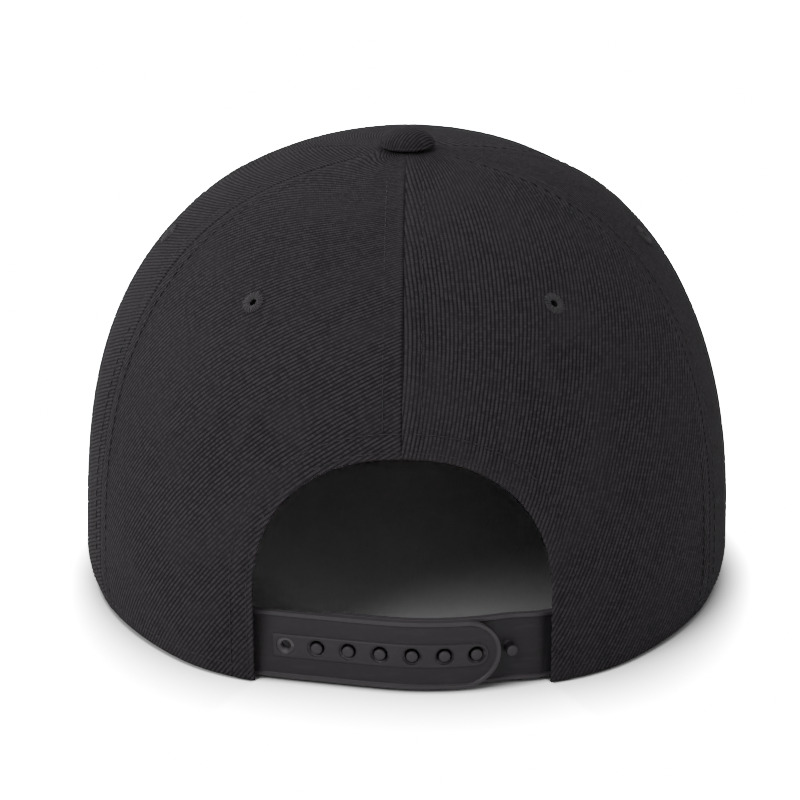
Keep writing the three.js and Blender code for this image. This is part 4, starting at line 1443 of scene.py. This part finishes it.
@dataclass
class SnapStrap:
    """The two plastic straps: the outer one with holes over the inner one with pegs."""

    form: CrownForm
    plastic: bpy.types.Material
    # A darker copy of the plastic that paints the inner strap's shade.
    inner_plastic: bpy.types.Material
    height: float = 19.5 * MM
    lift: float = 1.2 * MM
    thickness: float = 1.5 * MM
    relief: float = 0.5 * MM
    rim_width: float = 1.2 * MM
    clearance: float = 0.4 * MM
    flattening: float = 4.55 * MM
    skew: float = 1.4 * MM
    tuck: float = 12.0 * MM
    tip_reach: float = 26.4 * MM
    hidden_reach: float = 28.5 * MM
    filled_gap: float = 0.34 * MM
    free_peg_shift: float = 1.4 * MM
    ease_clearance: float = 2.0 * MM
    pill_height: float = 6.8 * MM
    recess_ease: float = 0.16 * MM
    holes: int = 7
    pitch: float = 8.55 * MM
    first_hole: float = -31.65 * MM
    hole_radius: float = 1.9 * MM
    empty_hole_radius: float = 1.25 * MM
    recess_radius: float = 2.5 * MM
    recess_depth: float = 0.6 * MM
    peg_radius: float = 1.52 * MM
    peg_protrusion: float = 0.35 * MM
    edge_round: float = 0.25 * MM
    back_round: float = 0.08 * MM
    # How light the rim, the raised band and the pegs' heads are made: partly rubbing, partly painted
    # highlight.
    rim_wear: float = 0.38
    pill_wear: float = 0.12
    peg_wear: float = 0.32
    contact_inset: float = 2.8 * MM
    sharp_angle_deg: float = 38.0

    @property
    def middle(self) -> float:
        """The height of the strap's centre line."""
        return self.lift + self.height / 2

    @property
    def rim_depth(self) -> float:
        """The depth of the rim's face under the face that the straps follow."""
        return self.form.cloth + self.clearance

    @property
    def layer(self) -> float:
        """How much deeper a strap lies that is behind another one."""
        return self.relief + self.thickness + self.clearance

    def inset(self, angle: np.ndarray) -> np.ndarray:
        """Gives how far the straps lie inside the crown's own form.

        They follow the cloth's pull, and run flatter than the crown between the legs by
        1 - share^2, less a sine that puts the flattest place a little to the left.
        """
        share = np.clip(angle / self.form.leg_angle, -1, 1)
        follow = self.form.pull(angle, self.form.climb_at(angle, np.full_like(angle, self.lift)))
        return follow + self.flattening * (1 - share**2) - self.skew * np.sin(math.pi * share)

    def at(self, angle: np.ndarray, height: np.ndarray, depth: np.ndarray) -> np.ndarray:
        """Gives points of the straps at polar angles, heights and depths."""
        angle, height, depth = np.broadcast_arrays(angle, height, depth)
        angle = np.asarray(angle, float)
        climb = self.form.climb_at(angle, height)
        under = (depth + self.inset(angle))[..., None]
        points = self.form.point(angle, climb) - self.form.normal(angle, climb) * under
        points[..., 2] = height
        return points

    @cached_property
    def travel(self) -> tuple[np.ndarray, np.ndarray]:
        """Lengths along the strap's plate from the middle of the back, and the angles there."""
        fine = np.linspace(-1.0, 1.0, 1601)
        line = self.at(fine, self.middle, self.rim_depth + self.relief)
        steps = np.linalg.norm(np.diff(line, axis=0), axis=1)
        travelled = np.concatenate([[0], np.cumsum(steps)])
        return travelled - np.interp(0.0, fine, travelled), fine

    def angles(self, reach: np.ndarray) -> np.ndarray:
        """Turns lengths along the strap from the middle of the back into polar angles."""
        return np.interp(reach, *self.travel)

    def drop(self, reach: np.ndarray) -> np.ndarray:
        """Gives how much deeper the inner strap lies: a whole layer behind the outer one."""
        end = self.form.arch_width / 2
        return self.layer * (1 - smooth(reach, self.tip_reach + self.ease_clearance, end))

    def band(self, start: float, end: float, round_start: bool, thickness: float,
             drop: Callable[[np.ndarray], np.ndarray],
             raised: Callable[[np.ndarray, np.ndarray], np.ndarray]) -> tuple[np.ndarray, ...]:
        """Builds a strap as a closed band with a relief on its outer face.

        Args:
            start: Where it starts along the hem.
            end: Where it ends.
            round_start: Whether the round tip is at the start rather than the end.
            thickness: The plate's thickness.
            drop: Gives how much deeper the strap lies at each place.
            raised: Gives the outer face's height over the plate, from places along and across.

        Returns:
            The vertices, the quads, and how light each vertex is made, by rubbing, painted highlight
            and painted light.
        """
        half = self.height / 2
        tip = half * (1 - np.cos(np.linspace(0.07, math.pi / 2, 30)))
        body = np.arange(half, end - start, 0.25 * MM)
        along = np.concatenate([tip, body[1:], [end - start]])
        reach = start + along if round_start else end - along
        shrink = np.sqrt(np.clip(half**2 - (half - np.minimum(along, half)) ** 2, 0, None))
        lane = signed_power(np.linspace(-1, 1, 91), 0.88)
        across = shrink[:, None] * lane[None]
        out = np.hypot(np.clip(half - along, 0, None)[:, None], across)
        edge = half - np.where(along[:, None] < half, out, np.abs(across))
        rim = 1 - smooth(edge, self.rim_width - 0.3 * MM, self.rim_width + 0.1 * MM)
        fall = rounded(edge, self.edge_round)
        grid = np.broadcast_to(reach[:, None], across.shape)
        face = np.maximum(self.relief * rim, raised(grid, across))
        angle = self.angles(grid)
        plate = self.rim_depth + self.relief + drop(grid)
        back = plate + thickness - rounded(edge, self.back_round)
        outer = self.at(angle, self.middle + across, plate - face + fall)
        inner = self.at(angle, self.middle + across, back)
        # The rim and the raised band get lighter, partly as rubbing and partly as painted highlight;
        # the outermost edge is a painted highlight.
        plateau = np.clip(face / self.relief - rim, 0, 1)
        painted_edge_highlight = 1 - smooth(edge, 0.0, 0.12 * MM)
        face_wear_and_highlight = np.maximum(self.rim_wear * rim + self.pill_wear * plateau, painted_edge_highlight)
        # The back's vertices round the edge are set fully light, which paints light on the top and
        # bottom faces.
        wear_and_painted_light = np.concatenate([face_wear_and_highlight.ravel(), (edge < self.edge_round).ravel()])
        return (*wall(outer, inner), wear_and_painted_light)

    def hole_places(self) -> np.ndarray:
        """Gives the places of the holes along the strap."""
        return self.first_hole + self.pitch * np.arange(self.holes)

    def outer_relief(self, reach: np.ndarray, across: np.ndarray) -> np.ndarray:
        """Gives the raised band round the holes, with a square start, a round end and soft sides.

        The edge of each hole's recess is eased a little.
        """
        half = self.pill_height / 2
        places = self.hole_places()
        start, end = places[0] - half, places[-1]
        beyond = np.clip(reach - end, 0, None)
        side = np.hypot(beyond, across) - half
        gap = np.maximum(side, start - reach)
        height = self.relief * (1 - smooth(gap, -0.25 * MM, 0.1 * MM))
        nearest = np.abs(reach[..., None] - places).min(-1)
        away = np.hypot(nearest, across) - self.recess_radius
        return height - self.recess_ease * (1 - smooth(away, 0.0, 0.35 * MM))

    def place(self, reach: float, depth: float) -> tuple[np.ndarray, np.ndarray]:
        """Gives the centre line's point straight behind the rim's level, and the normal there."""
        angle = float(self.angles(np.array(reach)))
        step = 1e-3
        face = self.at(angle, self.middle, self.rim_depth)
        ahead = self.at(angle + step, self.middle, self.rim_depth)
        above = self.at(angle, self.middle + step * MM, self.rim_depth)
        normal = unit(np.cross(ahead - face, above - face))
        return face + normal * (self.rim_depth - depth), normal

    def outer_strap(self) -> bpy.types.Object:
        """Builds the outer strap and cuts its holes and the recess round each."""
        points, faces, wear_and_painted_light = self.band(
            -(self.form.arch_width / 2 + self.tuck), self.tip_reach, False,
            self.thickness + self.filled_gap, np.zeros_like, self.outer_relief,
        )
        strap = mesh_object("strap_left_plastic", points, faces, self.plastic, wear=wear_and_painted_light)
        deep, step = 3.0 * MM, -self.recess_depth
        bars = []
        for number, reach in enumerate(self.hole_places()):
            bore = self.hole_radius if number else self.empty_hole_radius
            profile = np.array([
                [bore, -deep], [bore, step - 0.35 * MM], [bore + 0.25 * MM, step],
                [self.recess_radius - 0.1 * MM, step + 0.1 * MM],
                [self.recess_radius, step + 0.3 * MM], [self.recess_radius + 0.04 * MM, deep],
            ])
            centre, normal = self.place(float(reach), self.rim_depth)
            bars.append(turned(profile, centre, normal, 40))
        cut_away(strap, mesh_object("hole_bars", *together(bars), self.plastic))
        strap.data.set_sharp_from_angle(angle=math.radians(self.sharp_angle_deg))
        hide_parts("strap_left")
        return strap

    def peg(self, reach: float) -> tuple[np.ndarray, ...]:
        """Builds one peg by turning its profile: a fillet, a waist and a rounded head."""
        root = self.rim_depth + self.relief + self.thickness / 2
        centre, normal = self.place(reach, root + float(self.drop(np.array(reach))))
        length = root + self.layer - self.rim_depth + self.peg_protrusion
        foot = root - self.rim_depth - self.relief
        r = self.peg_radius
        profile = np.array([
            [0.02 * r, 0.0], [1.3 * r, 0.0], [1.3 * r, foot], [1.1 * r, foot + 0.12 * MM],
            [0.97 * r, foot + 0.35 * MM], [0.94 * r, length - 1.3 * MM],
            [1.0 * r, length - 1.0 * MM], [1.04 * r, length - 0.7 * MM],
            [1.02 * r, length - 0.42 * MM], [0.92 * r, length - 0.2 * MM],
            [0.72 * r, length - 0.07 * MM], [0.4 * r, length - 0.01 * MM], [0.02 * r, length],
        ])
        points, faces = turned(profile, centre, normal, 32)
        # The head is made lighter, partly rubbing and partly a painted highlight.
        head = (points - centre) @ normal > length - 0.55 * MM
        return points, faces, self.peg_wear * head

    def inner_strap(self) -> bpy.types.Object:
        """Builds the inner strap with its pegs, all but the last through the outer strap."""
        bodies = [self.band(
            -self.hidden_reach, self.form.arch_width / 2 + self.tuck, True, self.thickness,
            self.drop, lambda reach, across: np.zeros_like(reach),
        )]
        places = self.hole_places() + self.pitch
        places[-1] += self.free_peg_shift
        bodies += [self.peg(float(reach)) for reach in places]
        points, faces = together([body[:2] for body in bodies])
        wear_and_painted_light = np.concatenate([body[2] for body in bodies])
        strap = mesh_object("strap_right_plastic", points, faces, self.inner_plastic, wear=wear_and_painted_light)
        strap.data.set_sharp_from_angle(angle=math.radians(self.sharp_angle_deg))
        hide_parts("strap_right")
        return strap

    def footprint(self, angle: np.ndarray) -> np.ndarray:
        """Gives the distance from the crown's axis to where the hem or strap meets the floor."""
        axis = np.array([0.0, self.form.axis_y])
        strap = self.at(angle, self.lift, self.rim_depth)[..., :2] - axis
        hem = self.form.face(angle, 0 * angle)[..., :2] - axis
        under = np.linalg.norm(strap, axis=-1) - self.contact_inset
        return np.where(np.abs(angle) < self.form.leg_angle, under, np.linalg.norm(hem, axis=-1))

    def build(self) -> list[bpy.types.Object]:
        """Builds both straps."""
        return [self.outer_strap(), self.inner_strap()]


@dataclass
class Studio:
    """The floor, the soft lights and the camera."""

    axis_y: float
    hem: Callable[[np.ndarray], np.ndarray]
    leg_angle: float
    distance: float = 1.3
    yaw_deg: float = 0.76
    elevation_deg: float = 18.8
    target_x: float = -0.0018
    target_z: float = 0.0506
    focal_px: float = 4652.0
    sensor_mm: float = 36.0
    lamps: tuple[tuple, ...] = (
        ("key", (-1.1, -1.82, 1.65), 1.0, 24.0),
        ("fill", (1.6, -1.6, 0.9), 1.6, 4.0),
        ("top", (0.0, 0.4, 2.2), 1.6, 9.0),
        ("edge", (-1.8, 0.1, 0.7), 1.0, 9.0),
        ("front", (-1.0, 2.0, 1.1), 1.4, 9.0),
    )
    aim_height: float = 0.06
    surround: float = 0.42
    rings_mm: tuple[float, ...] = (
        0.0, 0.2, 0.5, 0.9, 1.3, 1.8, 2.6, 4.0, 6.0, 8.0, 10.0, 12.0,
        15.0, 20.0, 26.0, 34.0, 50.0, 90.0, 200.0, 500.0, 1500.0, 6000.0,
    )
    inner_rings: tuple[float, ...] = (0.01, 0.42, 0.55, 0.9)
    # Painted shadow: how far and how dark it reaches from the hem on the left, the back and the right,
    # and the painted light and shade inside the hem.
    reaches: tuple[float, float, float] = (10.5 * MM, 50.0 * MM, 12.0 * MM)
    first_gains: tuple[float, float, float] = (2.2, 6.3, 0.95)
    contact_width: float = 0.2 * MM
    near: float = 0.7 * MM
    strap_near: float = 3.6 * MM
    hollow_gain: float = 1.8
    hollow_growth: tuple[float, float] = (-1.5, 2.0)
    right_fall: float = 1.3

    def camera(self) -> None:
        """Places the camera at the photograph's angle and sets its lens from the focal length."""
        yaw, rise = math.radians(self.yaw_deg), math.radians(self.elevation_deg)
        back = Vector((
            math.sin(yaw) * math.cos(rise), -math.cos(yaw) * math.cos(rise), math.sin(rise),
        ))
        data = bpy.data.cameras.new("camera")
        data.sensor_width = self.sensor_mm
        data.lens = self.focal_px / PHOTO_WIDTH_PX * data.sensor_width
        data.clip_end = 50.0
        camera = add_object("camera", data)
        target = Vector((self.target_x, self.axis_y, self.target_z))
        aim(camera, target + back * self.distance, -back)
        bpy.context.scene.camera = camera

    def gains(self, turn: np.ndarray, away: np.ndarray, paper: StudioPaper) -> np.ndarray:
        """Gives how much brighter than it is the camera sees the floor outside the hem, low near it as
        a painted shadow.

        The gain jumps from the contact line within a short way, longer under the strap, to a
        first value. From there it grows by even powers with the distance, up to the open
        floor's. The first value and the reach go by the squared cosine and sine from the left's
        over the back's to the right's.

        Args:
            turn: The polar angle of each column.
            away: The distance of each ring from the hem.
            paper: The floor's finish.

        Returns:
            The gains, columns by rings.
        """
        shares = np.stack([
            np.maximum(-np.sin(turn), 0) ** 2, np.maximum(np.cos(turn), 0) ** 2,
            np.maximum(np.sin(turn), 0) ** 2,
        ], -1)
        shares = shares / shares.sum(-1, keepdims=True)
        first = np.exp(shares @ np.log(self.first_gains))[:, None]
        reach = (shares @ np.array(self.reaches))[:, None]
        near = np.where(np.abs(turn) < self.leg_angle, self.strap_near, self.near)[:, None]
        past = away[None] - self.contact_width
        start = np.clip(past / near, 0, 1)
        rest = np.clip((past - near) / (reach - near), 0, 1)
        lifted = (first / paper.contact_gain) ** start * (paper.open_gain / first) ** rest
        return paper.contact_gain * lifted

    def hollow(self, turn: np.ndarray, within: np.ndarray, paper: StudioPaper) -> np.ndarray:
        """Gives the same inside the hem, which the camera sees through the arch: painted light and
        shade on the floor under the cap.

        The gain grows from the axis to the front and shrinks to the back and, by the exponential
        of the way, to the right. It falls to the contact line's behind the strap, where only the
        empty hole shows the floor.

        Args:
            turn: The polar angle of each column.
            within: The distance of each ring from the axis, as a share of the hem's.
            paper: The floor's finish.

        Returns:
            The gains, columns by rings.
        """
        near, far = self.hollow_growth
        facing = np.cos(turn)[:, None]
        grown = near * np.maximum(facing, 0) + far * np.maximum(-facing, 0)
        gain = self.hollow_gain + grown * within[None]
        gain = gain * np.exp(-self.right_fall * np.maximum(np.sin(turn), 0)[:, None] * within[None])
        dark = smooth(facing, 0.0, 0.4) * (within[None] > 0.5)
        return gain * (paper.contact_gain / gain) ** dark

    def floor(self, paper: StudioPaper) -> None:
        """Lays the plain floor in rings along the hem that tell how open each place is, for its
        painted shade.
        """
        turn = np.linspace(-math.pi, math.pi, 720, endpoint=False)
        hem = self.hem(turn)
        away = np.array(self.rings_mm) * MM
        within = np.array(self.inner_rings)
        radius = np.concatenate([hem[:, None] * within, hem[:, None] + away], 1)
        points = np.stack([
            radius * np.sin(turn)[:, None], self.axis_y - radius * np.cos(turn)[:, None], 0 * radius,
        ], -1)
        columns, rows = radius.shape
        hub = np.array([[0.0, self.axis_y, 0.0]])
        number = np.arange(columns) * rows
        after = np.roll(number, -1)
        centre = np.full(columns, columns * rows)
        fan = np.stack([number, after, centre, centre], -1)
        faces = np.concatenate([grid_faces(columns, rows, close=True)[:, ::-1], fan])
        hollow = self.hollow(turn, within, paper)
        gain = np.concatenate([hollow, self.gains(turn, away, paper)], 1)
        share = paper.openness(np.concatenate([gain.ravel(), [self.hollow_gain]]))
        flat = np.concatenate([points.reshape(-1, 3), hub])
        plane = mesh_object("floor", flat, faces, paper.make())
        layer = plane.data.attributes.new("open", "FLOAT", "POINT")
        layer.data.foreach_set("value", share.astype(np.float32))

    def light(self, name: str, place: Sequence[float], size: float, power: float) -> None:
        """Hangs one square soft light that looks at the cap."""
        data = bpy.data.lights.new(name, "AREA")
        data.size = size
        data.energy = power
        lamp = add_object(name, data)
        aim(lamp, Vector(place), Vector((0, self.axis_y, self.aim_height)) - Vector(place))

    def build(self) -> None:
        """Sets up the camera, floor, lights and surrounding white."""
        self.camera()
        self.floor(StudioPaper("studio_paper"))
        for lamp in self.lamps:
            self.light(*lamp)
        world = bpy.data.worlds.new("studio_white")
        bpy.context.scene.world = world
        world.use_nodes = True
        background = world.node_tree.nodes["Background"]
        background.inputs["Color"].default_value = (1.0, 1.0, 1.0, 1.0)
        background.inputs["Strength"].default_value = self.surround


def main() -> None:
    """Builds the cap's sub-assemblies in order and reports each piece."""
    logging.basicConfig(level=logging.INFO)
    low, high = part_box("top_button")
    form = CrownForm(axis_y=(low[1] + high[1]) / 2)
    twill = CottonTwill("black_cotton_twill").make()
    thread = SewingThread("black_polyester_thread").make()
    floss = SewingThread("black_embroidery_floss", colour="4a474a", shade="302d30").make()
    # The inner face is a lighter copy of the twill: painted light on the inside seen through the arch.
    backing = CottonTwill("black_cotton_backing", yarn="615d61", groove="353235").make()
    plastic = MouldedPlastic("black_moulded_polyethylene").make()
    # A darker copy of the plastic paints shade on the inner strap.
    shaded = MouldedPlastic("black_moulded_polyethylene_inner", plate="292529").make()
    crown = Crown(form, twill, backing, thread).build()
    panels = {piece.name.removesuffix("_cloth"): piece for piece in crown}
    pieces = list(crown)
    pieces += Eyelets(form, floss).build(panels)
    pieces.append(Button(form, twill).build())
    pieces += Brim(form, twill, thread).build()
    strap = SnapStrap(form, plastic, shaded)
    pieces += strap.build()
    Studio(form.axis_y, strap.footprint, form.leg_angle).build()
    for piece in pieces:
        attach(piece, "root")
        log.info("%s: %d vertices", piece.name, len(piece.data.vertices))


if __name__ == "__main__":
    main()
